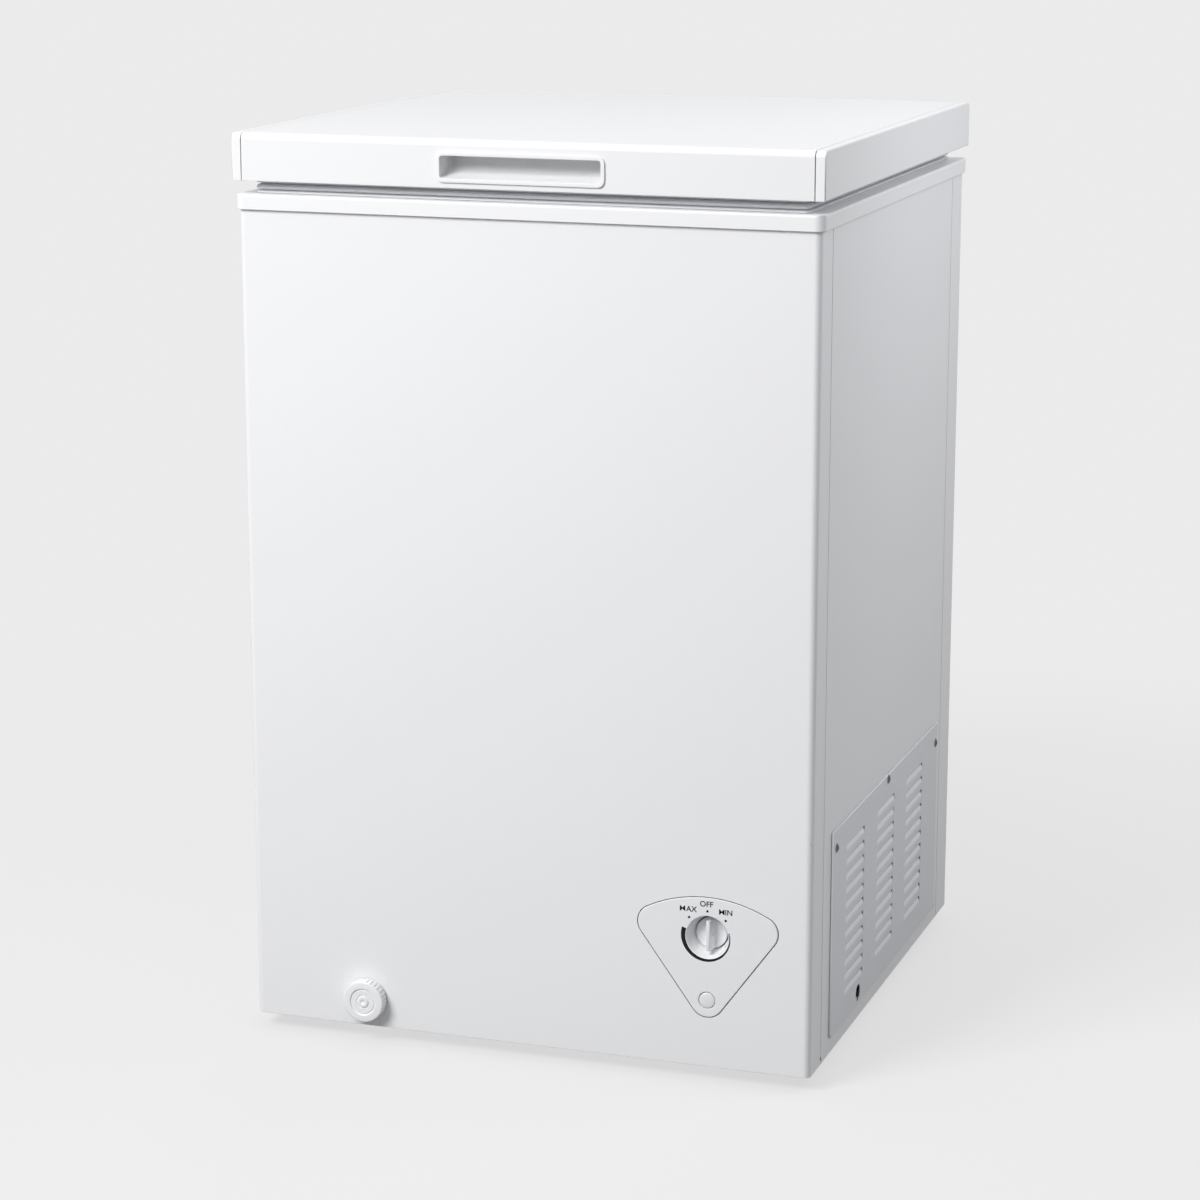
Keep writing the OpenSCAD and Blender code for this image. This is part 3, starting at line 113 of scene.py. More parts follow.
for name, tint, size, watts, spot, target in (
        ("front_lamp", (1, 1, 1), 1.6, 116, (-1.3, -2.75, 2.6), (0, -0.2, 0.45)),
        ("side_lamp", (0.96, 0.97, 1), 0.4, 2.7, (0.9, 0.14, 1.08), (0.27, 0.02, 0.55)),
        ("rear_lamp", (1, 1, 1), 1.8, 46, (-1.0, 3.4, 0.8), (0, 0.26, 0.45))):
    lamp = bpy.data.lights.new(name, "AREA")
    lamp.shape = "SQUARE"
    lamp.size = size
    lamp.energy = watts
    lamp.color = tint
    lamp_object = bpy.data.objects.new(name, lamp)
    scene.collection.objects.link(lamp_object)
    lamp_object.visible_camera = False
    # Low lamps would glare in the lid's top, seen along it
    lamp_object.visible_glossy = name == "front_lamp"
    lamp_object.location = spot
    aim = Vector(target) - lamp_object.location
    lamp_object.rotation_euler = aim.to_track_quat("-Z", "Y").to_euler()

FLOOR_RADIUS = 30
FLOOR_COLOUR = (0.28, 0.28, 0.285, 1)    # as the freezer's light meets it
SHADED_COLOUR = (0.78, 0.78, 0.78, 1)    # where the freezer's shadow shows on it
SHADE_SHARE = 0.26                       # how much of that shows beside the freezer
SHADE_NEAR, SHADE_FAR = 0.35, 1.6        # metres from the middle over which it fades out
bpy.ops.object.select_all(action="DESELECT")
bpy.ops.mesh.primitive_circle_add(vertices=96, radius=FLOOR_RADIUS, fill_type="NGON",
                                  location=(0, 0, 0))
floor = bpy.context.object
floor.name = "floor"
floor_look = bpy.data.materials.new("floor_look")
floor_look.use_nodes = True
nodes = floor_look.node_tree.nodes
wire = floor_look.node_tree.links.new
nodes.clear()
matt = nodes.new("ShaderNodeBsdfDiffuse")
matt.inputs["Color"].default_value = FLOOR_COLOUR
shaded = nodes.new("ShaderNodeBsdfDiffuse")
shaded.inputs["Color"].default_value = SHADED_COLOUR
plain = nodes.new("ShaderNodeEmission")
plain.inputs["Color"].default_value = BACKDROP
place = nodes.new("ShaderNodeTexCoord")
span = nodes.new("ShaderNodeVectorMath")
span.operation = "LENGTH"
wire(place.outputs["Object"], span.inputs[0])
fade = nodes.new("ShaderNodeMapRange")
fade.interpolation_type = "SMOOTHSTEP"
fade.inputs["From Min"].default_value = SHADE_NEAR
fade.inputs["From Max"].default_value = SHADE_FAR
fade.inputs["To Min"].default_value = 1 - SHADE_SHARE
fade.inputs["To Max"].default_value = 1
wire(span.outputs["Value"], fade.inputs["Value"])
shown = nodes.new("ShaderNodeMixShader")
wire(fade.outputs[0], shown.inputs[0])
wire(shaded.outputs[0], shown.inputs[1])
wire(plain.outputs[0], shown.inputs[2])
either = nodes.new("ShaderNodeMixShader")
wire(shown_rays(nodes, wire), either.inputs[0])
wire(matt.outputs[0], either.inputs[1])
wire(shown.outputs[0], either.inputs[2])
floor_out = nodes.new("ShaderNodeOutputMaterial")
wire(either.outputs[0], floor_out.inputs["Surface"])
floor.data.materials.append(floor_look)

# ---------------------------------------------------------------- cabinet shell
# Front, sides and back are folded from thin steel sheet, sprayed with white enamel before they
# are joined at the upright corner seams. The enamel has a soft gloss and a fine orange peel.


def new_group(name, takes, gives):
    """An empty shader node group with these input and output sockets, and its two end nodes."""
    group = bpy.data.node_groups.new(name, "ShaderNodeTree")
    for socket, kind, value in takes:
        made = group.interface.new_socket(socket, in_out="INPUT", socket_type="NodeSocket" + kind)
        made.default_value = value
    for socket, kind in gives:
        group.interface.new_socket(socket, in_out="OUTPUT", socket_type="NodeSocket" + kind)
    return group, group.nodes.new("NodeGroupInput"), group.nodes.new("NodeGroupOutput")


# Colour that drifts a little over the surface and is tinted lighter or darker along the
# edges, as rubbed wear on dark and metal finishes and as a painted highlight on white ones,
# and a roughness with faint smears in it
uneven, into, out = new_group(
    "uneven_colour",
    [("Colour", "Color", (0.8, 0.8, 0.8, 1)), ("Drift", "Float", 0.02),
     ("Drift Scale", "Float", 5), ("Edge Colour", "Color", (0.9, 0.9, 0.9, 1)),
     ("Edge Rub", "Float", 0.3), ("Edge Radius", "Float", 0.001), ("Roughness", "Float", 0.3),
     ("Smudge", "Float", 0.05)],
    [("Colour", "Color"), ("Roughness", "Float"), ("Edge", "Float")])
add, wire = uneven.nodes.new, uneven.links.new
place = add("ShaderNodeTexCoord")
cloud = add("ShaderNodeTexNoise")
cloud.inputs["Detail"].default_value = 5
wire(place.outputs["Object"], cloud.inputs["Vector"])
wire(into.outputs["Drift Scale"], cloud.inputs["Scale"])
swing = add("ShaderNodeMath")
swing.operation = "SUBTRACT"
swing.inputs[1].default_value = 0.5
wire(cloud.outputs["Fac"], swing.inputs[0])
shade = add("ShaderNodeMath")
shade.operation = "MULTIPLY_ADD"
shade.inputs[2].default_value = 1
wire(swing.outputs[0], shade.inputs[0])
wire(into.outputs["Drift"], shade.inputs[1])
drifted = add("ShaderNodeVectorMath")
drifted.operation = "SCALE"
wire(into.outputs["Colour"], drifted.inputs[0])
wire(shade.outputs[0], drifted.inputs["Scale"])
rounded = add("ShaderNodeBevel")
rounded.samples = 4
wire(into.outputs["Edge Radius"], rounded.inputs["Radius"])
shape = add("ShaderNodeNewGeometry")
bend = add("ShaderNodeVectorMath")
bend.operation = "DOT_PRODUCT"
wire(rounded.outputs["Normal"], bend.inputs[0])
wire(shape.outputs["Normal"], bend.inputs[1])
edge = add("ShaderNodeMapRange")
edge.inputs["From Min"].default_value = 0.995
edge.inputs["From Max"].default_value = 0.8
wire(bend.outputs["Value"], edge.inputs["Value"])
patchy = add("ShaderNodeTexNoise")
patchy.inputs["Scale"].default_value = 60
wire(place.outputs["Object"], patchy.inputs["Vector"])
patchy_edge = add("ShaderNodeMath")
patchy_edge.operation = "MULTIPLY"
wire(edge.outputs[0], patchy_edge.inputs[0])
wire(patchy.outputs["Fac"], patchy_edge.inputs[1])
edge_wear_and_highlight_share = add("ShaderNodeMath")
edge_wear_and_highlight_share.operation = "MULTIPLY"
edge_wear_and_highlight_share.use_clamp = True
wire(patchy_edge.outputs[0], edge_wear_and_highlight_share.inputs[0])
wire(into.outputs["Edge Rub"], edge_wear_and_highlight_share.inputs[1])
# Edges tinted towards Edge Colour: rubbed wear, and on the white finishes a painted highlight
edge_wear_and_highlight_colour = add("ShaderNodeMix")
edge_wear_and_highlight_colour.data_type = "RGBA"
wire(edge_wear_and_highlight_share.outputs[0], edge_wear_and_highlight_colour.inputs["Factor"])
wire(drifted.outputs[0], edge_wear_and_highlight_colour.inputs[6])
wire(into.outputs["Edge Colour"], edge_wear_and_highlight_colour.inputs[7])
smears = add("ShaderNodeTexNoise")
smears.inputs["Scale"].default_value = 14
smears.inputs["Detail"].default_value = 8
smears.inputs["Distortion"].default_value = 1.2
wire(place.outputs["Object"], smears.inputs["Vector"])
smear = add("ShaderNodeMath")
smear.operation = "SUBTRACT"
smear.inputs[1].default_value = 0.5
wire(smears.outputs["Fac"], smear.inputs[0])
gloss = add("ShaderNodeMath")
gloss.operation = "MULTIPLY_ADD"
wire(smear.outputs[0], gloss.inputs[0])
wire(into.outputs["Smudge"], gloss.inputs[1])
wire(into.outputs["Roughness"], gloss.inputs[2])
wire(edge_wear_and_highlight_colour.outputs[2], out.inputs["Colour"])
wire(gloss.outputs[0], out.inputs["Roughness"])
wire(edge.outputs[0], out.inputs["Edge"])

# Height of a fine grain: soft swells with a finer tooth on them
grain, into, out = new_group(
    "fine_grain", [("Scale", "Float", 400), ("Tooth", "Float", 0.3)], [("Height", "Float")])
add, wire = grain.nodes.new, grain.links.new
place = add("ShaderNodeTexCoord")
swell = add("ShaderNodeTexNoise")
swell.inputs["Detail"].default_value = 1
wire(place.outputs["Object"], swell.inputs["Vector"])
wire(into.outputs["Scale"], swell.inputs["Scale"])
finer = add("ShaderNodeMath")
finer.operation = "MULTIPLY"
finer.inputs[1].default_value = 3.7
wire(into.outputs["Scale"], finer.inputs[0])
tooth = add("ShaderNodeTexNoise")
tooth.inputs["Detail"].default_value = 3
wire(place.outputs["Object"], tooth.inputs["Vector"])
wire(finer.outputs[0], tooth.inputs["Scale"])
height = add("ShaderNodeMath")
height.operation = "MULTIPLY_ADD"
wire(tooth.outputs["Fac"], height.inputs[0])
wire(into.outputs["Tooth"], height.inputs[1])
wire(swell.outputs["Fac"], height.inputs[2])
wire(height.outputs[0], out.inputs["Height"])


def finish(name, colour, roughness, drift=0.02, drift_scale=5, edge_colour=None, edge_wear_and_highlight_amount=0.3,
           edge_radius=0.0008, smudge=0.05, grain_scale=400, tooth=0.3, grain_depth=0.00002,
           soften=0.0006, **sockets):
    """A material with this colour and roughness, uneven as the real finish is, with a fine
    grain and edges that catch the light over the width soften. Edges are tinted towards
    edge_colour, as rubbed wear on dark and metal finishes and as a painted highlight on white
    ones. Further words name sockets of the Principled shader, with _ for a space."""
    look = bpy.data.materials.new(name)
    look.use_nodes = True
    add, wire = look.node_tree.nodes.new, look.node_tree.links.new
    shader = look.node_tree.nodes["Principled BSDF"]
    paint = add("ShaderNodeGroup")
    paint.node_tree = uneven
    paint.inputs["Colour"].default_value = (*colour, 1)
    paint.inputs["Edge Colour"].default_value = (*(edge_colour or colour), 1)
    for socket, value in (("Drift", drift), ("Drift Scale", drift_scale), ("Edge Rub", edge_wear_and_highlight_amount),
                          ("Edge Radius", edge_radius), ("Roughness", roughness),
                          ("Smudge", smudge)):
        paint.inputs[socket].default_value = value
    wire(paint.outputs["Colour"], shader.inputs["Base Color"])
    wire(paint.outputs["Roughness"], shader.inputs["Roughness"])
    rough = add("ShaderNodeGroup")
    rough.name = "grain"
    rough.node_tree = grain
    rough.inputs["Scale"].default_value = grain_scale
    rough.inputs["Tooth"].default_value = tooth
    bump = add("ShaderNodeBump")
    bump.inputs["Distance"].default_value = grain_depth
    wire(rough.outputs["Height"], bump.inputs["Height"])
    if soften:
        rounded = add("ShaderNodeBevel")
        rounded.samples = 4
        rounded.inputs["Radius"].default_value = soften
        wire(rounded.outputs["Normal"], bump.inputs["Normal"])
    wire(bump.outputs["Normal"], shader.inputs["Normal"])
    for socket, value in sockets.items():
        shader.inputs[socket.replace("_", " ")].default_value = value
    return look


def dress(look, *node_names):
    """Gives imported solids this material."""
    for node_name in node_names:
        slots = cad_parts[node_name].data.materials
        slots.clear()
        slots.append(look)


enamel = finish("white_enamel", (0.850, 0.852, 0.858), 0.33, drift=0.012, drift_scale=3,
                edge_colour=(0.88, 0.88, 0.885), edge_wear_and_highlight_amount=0.5, grain_scale=420,
                grain_depth=0.00003, Specular_IOR_Level=0.3)
dress(enamel, "front_panel", "left_side_panel", "right_side_panel", "rear_panel")

MM = 0.001


def select_only(piece):
    """Selects this piece and no other, and makes it the one that is worked on."""
    bpy.ops.object.select_all(action="DESELECT")
    piece.select_set(True)
    bpy.context.view_layer.objects.active = piece


def edit(piece):
    """Opens a piece for shaping, with points as what is selected."""
    select_only(piece)
    bpy.ops.object.mode_set(mode="EDIT")
    bpy.context.tool_settings.mesh_select_mode = (True, False, False)


def done():
    """Leaves edit mode."""
    bpy.ops.object.mode_set(mode="OBJECT")


def close_up(piece):
    """Merges what meets and turns all faces outwards, then leaves edit mode."""
    bpy.ops.mesh.select_all(action="SELECT")
    bpy.ops.mesh.remove_doubles(threshold=0.00001)
    bpy.ops.mesh.normals_make_consistent(inside=False)
    done()


def settle(piece, place=(0, 0, 0), turn=(0, 0, 0)):
    """Puts a piece in its place, turned as it sits there, in the mesh itself."""
    select_only(piece)
    piece.location = place
    piece.rotation_euler = turn
    bpy.ops.object.transform_apply(location=True, rotation=True, scale=True)


def block(name, size, middle=(0, 0, 0)):
    """A block to be shaped further."""
    bpy.ops.object.select_all(action="DESELECT")
    bpy.ops.mesh.primitive_cube_add(size=1, location=(0, 0, 0))
    piece = bpy.context.object
    piece.name = name
    piece.scale = size
    settle(piece, middle)
    return piece


def disc(name, radius, thickness):
    """A thin round disc, lying on the origin and facing up."""
    bpy.ops.object.select_all(action="DESELECT")
    bpy.ops.mesh.primitive_circle_add(vertices=32, radius=radius, fill_type="NGON",
                                      location=(0, 0, 0))
    piece = bpy.context.object
    piece.name = name
    edit(piece)
    bpy.ops.mesh.select_all(action="SELECT")
    bpy.ops.mesh.extrude_region_move(TRANSFORM_OT_translate={"value": (0, 0, thickness)})
    close_up(piece)
    return piece


def twin(piece, name):
    """A copy of a piece, with a mesh of its own."""
    other = bpy.data.objects.new(name, piece.data.copy())
    scene.collection.objects.link(other)
    return other


def refine(piece, kind, **settings):
    """Adds a modifier and applies it."""
    select_only(piece)
    added = piece.modifiers.new(kind.lower(), kind)
    for setting, value in settings.items():
        setattr(added, setting, value)
    bpy.ops.object.modifier_apply(modifier=added.name)


# A near-black strip lies in each upright seam and shows as a thin dark line: a painted
# shadow in place of the seam's shade
seam_shadow_paint = finish("seam_painted_shadow", (0.10, 0.10, 0.105), 0.6, drift=0.15, drift_scale=40, edge_wear_and_highlight_amount=0,
                smudge=0.1, grain_scale=900, soften=0)
SIDE_X = 272.5 * MM
SEAM_FRONT_Y, SEAM_REAR_Y = -234 * MM, 218 * MM
SEAM_FOOT_Z, SEAM_TOP_Z = 17 * MM, 781 * MM
SEAM_MIDDLE_Z = (SEAM_FOOT_Z + SEAM_TOP_Z) / 2
SHADOW_STRIP_SUNK, SHADOW_STRIP_THICK, SHADOW_STRIP_WIDTH = 0.15 * MM, 0.4 * MM, 0.92 * MM
seam_shadow_strip = block("seam_shadow_strip", (SHADOW_STRIP_THICK, SHADOW_STRIP_WIDTH, SEAM_TOP_Z - SEAM_FOOT_Z))
refine(seam_shadow_strip, "BEVEL", width=0.12 * MM, segments=2, limit_method="ANGLE")
seam_shadow_strip.data.materials.append(seam_shadow_paint)
# A small near-black disc at the foot of each front seam stands for the dark of the paint
# drain hole there: painted shade
HOLE_SHADE_RADIUS, HOLE_SHADE_THICK, HOLE_SHADE_SUNK, HOLE_SHADE_Z = 1.7 * MM, 0.4 * MM, 0.2 * MM, 20.5 * MM
hole_shade_disc = disc("hole_shade_disc", HOLE_SHADE_RADIUS, HOLE_SHADE_THICK)
refine(hole_shade_disc, "BEVEL", width=0.1 * MM, segments=2, limit_method="ANGLE")
hole_shade_disc.data.materials.append(seam_shadow_paint)
for side, side_name in ((-1, "left"), (1, "right")):
    for edge_name, seam_y in (("front", SEAM_FRONT_Y), ("rear", SEAM_REAR_Y)):
        seam = twin(seam_shadow_strip, f"seam_painted_shadow_{side_name}_{edge_name}")
        settle(seam, (side * (SIDE_X - SHADOW_STRIP_SUNK - SHADOW_STRIP_THICK / 2), seam_y, SEAM_MIDDLE_Z))
        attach(seam, "cabinet")
    hole_shade = twin(hole_shade_disc, "seam_hole_shade_" + side_name)
    settle(hole_shade, (side * (SIDE_X - HOLE_SHADE_SUNK), SEAM_FRONT_Y, HOLE_SHADE_Z),
           (0, side * math.pi / 2, 0))
    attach(hole_shade, "cabinet")
bpy.data.objects.remove(seam_shadow_strip)
bpy.data.objects.remove(hole_shade_disc)

# ---------------------------------------------------------------- top trim
# One moulded frame of white plastic pushed down over the folded edges of the shell and the
# tank. It closes the foam space and gives the gasket its flat seat.
trim_plastic = finish("trim_plastic", (0.868, 0.870, 0.874), 0.36, drift=0.01,
                      edge_colour=(0.90, 0.90, 0.905), grain_scale=900, tooth=0.5,
                      grain_depth=0.00002, Specular_IOR_Level=0.3)
dress(trim_plastic, "top_trim")

# ---------------------------------------------------------------- base, bulkhead and tray
# Pressed from galvanised steel and left unpainted: the pan under the foam, the wall of the
# machine bay and the tray that carries the compressor.
zinc = finish("galvanised_steel", (0.56, 0.575, 0.59), 0.42, drift=0.35, drift_scale=28,
              edge_colour=(0.72, 0.73, 0.74), edge_wear_and_highlight_amount=0.8, smudge=0.22, grain_scale=160,
              tooth=0.6, grain_depth=0.00004, Metallic=0.85)
dress(zinc, "base_pan", "machine_bulkhead", "compressor_tray")

# ---------------------------------------------------------------- feet
# Four round feet of dark moulded rubber, screwed up into the base pan. The compressor's
# mounts, the cord's grommet and the tank's plug are of the same rubber.
rubber = finish("dark_rubber", (0.035, 0.035, 0.037), 0.72, drift=0.2, drift_scale=40,
                edge_colour=(0.09, 0.09, 0.09), edge_wear_and_highlight_amount=0.7, smudge=0.2, grain_scale=1500,
                tooth=0.8, grain_depth=0.00006)
dress(rubber, "feet", "compressor_mounts", "cord_grommet", "drain_plug")

# ---------------------------------------------------------------- foam
# Polyurethane foam, injected as a liquid between the skins, where it rises and sets pale
# yellow. It shows only through the slots in the metal.
foam = finish("insulating_foam", (0.78, 0.70, 0.50), 0.85, drift=0.25, drift_scale=60,
              edge_wear_and_highlight_amount=0.2, smudge=0.1, grain_scale=700, tooth=0.9, grain_depth=0.0004,
              soften=0)
dress(foam, "cabinet_foam", "lid_foam")

# ---------------------------------------------------------------- tank
# The food tank is bent from stucco-embossed aluminium sheet, with a raised step over the
# compressor. The pattern of small facets hides scratches.
stucco = finish("embossed_aluminium", (0.80, 0.81, 0.82), 0.34, drift=0.08, drift_scale=9,
                edge_colour=(0.88, 0.88, 0.88), edge_wear_and_highlight_amount=0.5, smudge=0.12, Metallic=0.9)
add, wire = stucco.node_tree.nodes.new, stucco.node_tree.links.new
place = add("ShaderNodeTexCoord")
facets = add("ShaderNodeTexVoronoi")
facets.feature = "SMOOTH_F1"
facets.inputs["Scale"].default_value = 210
facets.inputs["Smoothness"].default_value = 0.6
wire(place.outputs["Object"], facets.inputs["Vector"])
pressed = add("ShaderNodeBump")
pressed.inputs["Distance"].default_value = 0.0009
pressed.inputs["Strength"].default_value = 0.7
wire(facets.outputs["Distance"], pressed.inputs["Height"])
wire(pressed.outputs["Normal"], stucco.node_tree.nodes["Principled BSDF"].inputs["Normal"])
dress(stucco, "inner_liner")

# ---------------------------------------------------------------- machine bay
# Black-painted compressor pot and relay box on rubber mounts, with brazed copper tube to the
# condenser, the filter drier and the capillary, and an aluminium tube round the tank.
black_paint = finish("black_paint", (0.022, 0.022, 0.024), 0.3, drift=0.3, drift_scale=12,
                     edge_colour=(0.12, 0.12, 0.125), edge_wear_and_highlight_amount=0.6, smudge=0.25,
                     grain_scale=500, tooth=0.4, grain_depth=0.00008, Coat_Weight=0.3)
dress(black_paint, "compressor")
black_plastic = finish("black_plastic", (0.03, 0.03, 0.032), 0.5, drift=0.15,
                       edge_colour=(0.08, 0.08, 0.08), grain_scale=1300, tooth=0.7,
                       grain_depth=0.00005)
dress(black_plastic, "start_relay")
copper = finish("drawn_copper", (0.78, 0.42, 0.27), 0.3, drift=0.45, drift_scale=35,
                edge_colour=(0.9, 0.55, 0.38), smudge=0.3, grain_scale=600,
                grain_depth=0.00003, soften=0, Metallic=1.0)
dress(copper, "process_tube", "discharge_tube", "suction_tube", "condenser_tube",
      "condenser_outlet_tube", "filter_drier", "capillary_tube", "thermostat_bulb")
drawn_aluminium = finish("drawn_aluminium", (0.76, 0.77, 0.78), 0.35, drift=0.1,
                         drift_scale=30, smudge=0.2, soften=0, Metallic=0.95)
dress(drawn_aluminium, "evaporator_tube")
dress(zinc, "compressor_bolts", "thermostat", "thermostat_shaft")
jacket = finish("wire_jacket", (0.72, 0.72, 0.69), 0.5, drift=0.1, drift_scale=25, smudge=0.1,
                grain_scale=1500, soften=0)
dress(jacket, "wiring_harness")

# ---------------------------------------------------------------- vent cover
# A shallow tray of enamelled steel with three columns of pressed louvres. It hooks into the
# side panel's window at the bottom and is held by three pan-head screws.
# A lit and shaded copy of the shell's enamel: the plate is set darker, a painted shade, and its
# edges are tinted near white, a painted highlight
vent_enamel_shade_and_highlight = finish("vent_enamel_shade_and_highlight", (0.745, 0.748, 0.765), 0.36, drift=0.012, drift_scale=3,
                     edge_colour=(0.9, 0.9, 0.91), edge_wear_and_highlight_amount=0.9, grain_scale=420,
                     grain_depth=0.00003, Specular_IOR_Level=0.3)
# Faces that tilt up, the blades and the top of the rim, are made near white: a painted
# highlight for light from above
add, wire = vent_enamel_shade_and_highlight.node_tree.nodes.new, vent_enamel_shade_and_highlight.node_tree.links.new
shader = vent_enamel_shade_and_highlight.node_tree.nodes["Principled BSDF"]
leaning = add("ShaderNodeNewGeometry")
apart = add("ShaderNodeSeparateXYZ")
wire(leaning.outputs["Normal"], apart.inputs[0])
upward_highlight_mask = add("ShaderNodeMapRange")
upward_highlight_mask.inputs["From Min"].default_value = 0.01
upward_highlight_mask.inputs["From Max"].default_value = 0.25
wire(apart.outputs["Z"], upward_highlight_mask.inputs["Value"])
painted_highlight = add("ShaderNodeMix")
painted_highlight.data_type = "RGBA"
wire(upward_highlight_mask.outputs[0], painted_highlight.inputs["Factor"])
wire(shader.inputs["Base Color"].links[0].from_socket, painted_highlight.inputs[6])
painted_highlight.inputs[7].default_value = (0.93, 0.932, 0.945, 1)
wire(painted_highlight.outputs[2], shader.inputs["Base Color"])
NEAR = 0.1 * MM    # points closer than this share a place
TRAY_MIDDLE = (SIDE_X, -3.5 * MM, 129 * MM)
# What lies further than this from the tray's middle belongs to its rim
RIM_FROM_Y, RIM_FROM_Z = 202 * MM, 97 * MM
RIM_CUT_X, TRAY_FACE_X = SIDE_X + 0.5 * MM, SIDE_X + 1.8 * MM
UNDERCUT = (1, 0.994, 0.987)    # the rim's foot against the rim above it
RIM_ROUND = 1.1 * MM


def copied(name, node_name):
    """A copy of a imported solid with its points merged, opened for shaping."""
    piece = twin(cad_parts[node_name], name)
    piece.data.materials.clear()
    edit(piece)
    bpy.ops.mesh.select_all(action="SELECT")
    bpy.ops.mesh.remove_doubles(threshold=0.00001)
    bpy.ops.mesh.select_all(action="SELECT")
    return piece


def on_rim(v):
    """Whether a point of the tray lies on its rim."""
    return (abs(v.co.y - TRAY_MIDDLE[1]) > RIM_FROM_Y or
            abs(v.co.z - TRAY_MIDDLE[2]) > RIM_FROM_Z)


def pick(piece, kind, wanted):
    """In edit mode, selects the points, edges or faces for which wanted(item) is true."""
    bpy.context.tool_settings.mesh_select_mode = (kind == "verts", kind == "edges",
                                                  kind == "faces")
    mesh = bmesh.from_edit_mesh(piece.data)
    for group in (mesh.verts, mesh.edges, mesh.faces):
        for item in group:
            item.select = False
    for item in getattr(mesh, kind):
        if wanted(item):
            item.select_set(True)
    mesh.select_flush_mode()
    bmesh.update_edit_mesh(piece.data)


def smooth(piece, degrees=35):
    """Smooths a piece except where its faces meet at more than this angle."""
    select_only(piece)
    bpy.ops.object.shade_smooth_by_angle(angle=math.radians(degrees))


def even(piece, degrees=40):
    """Smooths a piece, and lets its large flat faces keep their own direction."""
    smooth(piece, degrees)
    refine(piece, "WEIGHTED_NORMAL", weight=100, keep_sharp=True)


# The rim is undercut, so a dark gap runs round it where it meets the side panel
tray = copied("vent_cover_tray", "vent_cover")
bpy.ops.mesh.bisect(plane_co=(RIM_CUT_X, 0, 0), plane_no=(1, 0, 0))
pick(tray, "verts", lambda v: -0.5 * MM < v.co.x - SIDE_X < 0.2 * MM and on_rim(v))
bpy.ops.transform.resize(value=UNDERCUT, center_override=TRAY_MIDDLE)
pick(tray, "edges", lambda e: all(v.co.x > TRAY_FACE_X - NEAR and on_rim(v) for v in e.verts)
     and any(f.normal.x < 0.5 for f in e.link_faces))
bpy.ops.mesh.bevel(offset=RIM_ROUND, segments=3, affect="EDGES")
done()
tray.data.materials.append(vent_enamel_shade_and_highlight)
even(tray, 50)
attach(tray, "cabinet")
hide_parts("vent_cover")
dark_screw = finish("darkened_screw", (0.11, 0.11, 0.115), 0.2, drift=0.2, drift_scale=120,
                    edge_colour=(0.5, 0.5, 0.52), edge_wear_and_highlight_amount=0.8, smudge=0.15, grain_scale=900,
                    grain_depth=0.00002, soften=0.0003, Metallic=1.0)
dress(dark_screw, "vent_cover_screws")

# ---------------------------------------------------------------- lid
# Enamelled steel skin folded into a shallow box, closed at each end by a white moulded cap,
# with a vacuum-formed plastic liner underneath and foam inside.
dress(enamel, "lid_cover")
cap_plastic = finish("cap_plastic", (0.862, 0.864, 0.868), 0.34, drift=0.01,
                     edge_colour=(0.90, 0.90, 0.90), grain_scale=900, tooth=0.5,
                     grain_depth=0.00002)
LID_FRONT_Y, LID_REAR_Y = -276.5 * MM, 268.5 * MM
LID_DEPTH, LID_MIDDLE_Y = LID_REAR_Y - LID_FRONT_Y, (LID_FRONT_Y + LID_REAR_Y) / 2
LID_FOOT_Z, LID_TOP_Z = 807 * MM, 850 * MM
CAP_IN_X, CAP_OUT_X = 267.5 * MM, 276.5 * MM
CAP_WIDTH = CAP_OUT_X - CAP_IN_X
CAP_SHOULDER, CAP_EDGE, CAP_JOINT = 6 * MM, 1.5 * MM, 0.3 * MM    # how round each edge is
for side, node_name in ((-1, "lid_end_cap_left"), (1, "lid_end_cap_right")):
    cap = block(node_name.replace("lid_", "") + "_moulding",
                (CAP_WIDTH, LID_DEPTH, LID_TOP_Z - LID_FOOT_Z),
                (side * (CAP_IN_X + CAP_OUT_X) / 2, LID_MIDDLE_Y, (LID_FOOT_Z + LID_TOP_Z) / 2))
    edit(cap)
    pick(cap, "edges", lambda e: all(v.co.z > LID_TOP_Z - NEAR for v in e.verts) and
         abs(e.verts[0].co.x - e.verts[1].co.x) > CAP_WIDTH / 2)
    bpy.ops.mesh.bevel(offset=CAP_SHOULDER, segments=8, affect="EDGES")
    pick(cap, "edges", lambda e: all(abs(v.co.x) > CAP_OUT_X - NEAR for v in e.verts))
    bpy.ops.mesh.bevel(offset=CAP_EDGE, segments=4, affect="EDGES")
    pick(cap, "edges", lambda e: all(abs(v.co.x) < CAP_IN_X + NEAR for v in e.verts) and
         not all(v.co.z < LID_FOOT_Z + NEAR for v in e.verts))
    bpy.ops.mesh.bevel(offset=CAP_JOINT, segments=2, affect="EDGES")
    close_up(cap)
    even(cap, 50)
    cap.data.materials.append(cap_plastic)
    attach(cap, "lid")
    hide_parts(node_name)
liner_plastic = finish("liner_plastic", (0.84, 0.845, 0.85), 0.34, drift=0.01, drift_scale=7,
                       smudge=0.015, grain_scale=250, grain_depth=0.00006)
dress(liner_plastic, "lid_liner")

# ---------------------------------------------------------------- lid gasket
# Extruded from soft grey vinyl with a magnet strip in its hollow, mitred and welded at the
# corners. A top flange presses into the lid's liner, and the bellows closes onto the trim.
GASKET_CORNER = 5 * MM
SEAL_WIDTH = 2 * (CAP_OUT_X - 5 * MM)    # the caps hold it further in at the sides
SEAL_MIDDLE = 19 * MM                    # from the lid's edge to the middle of the section
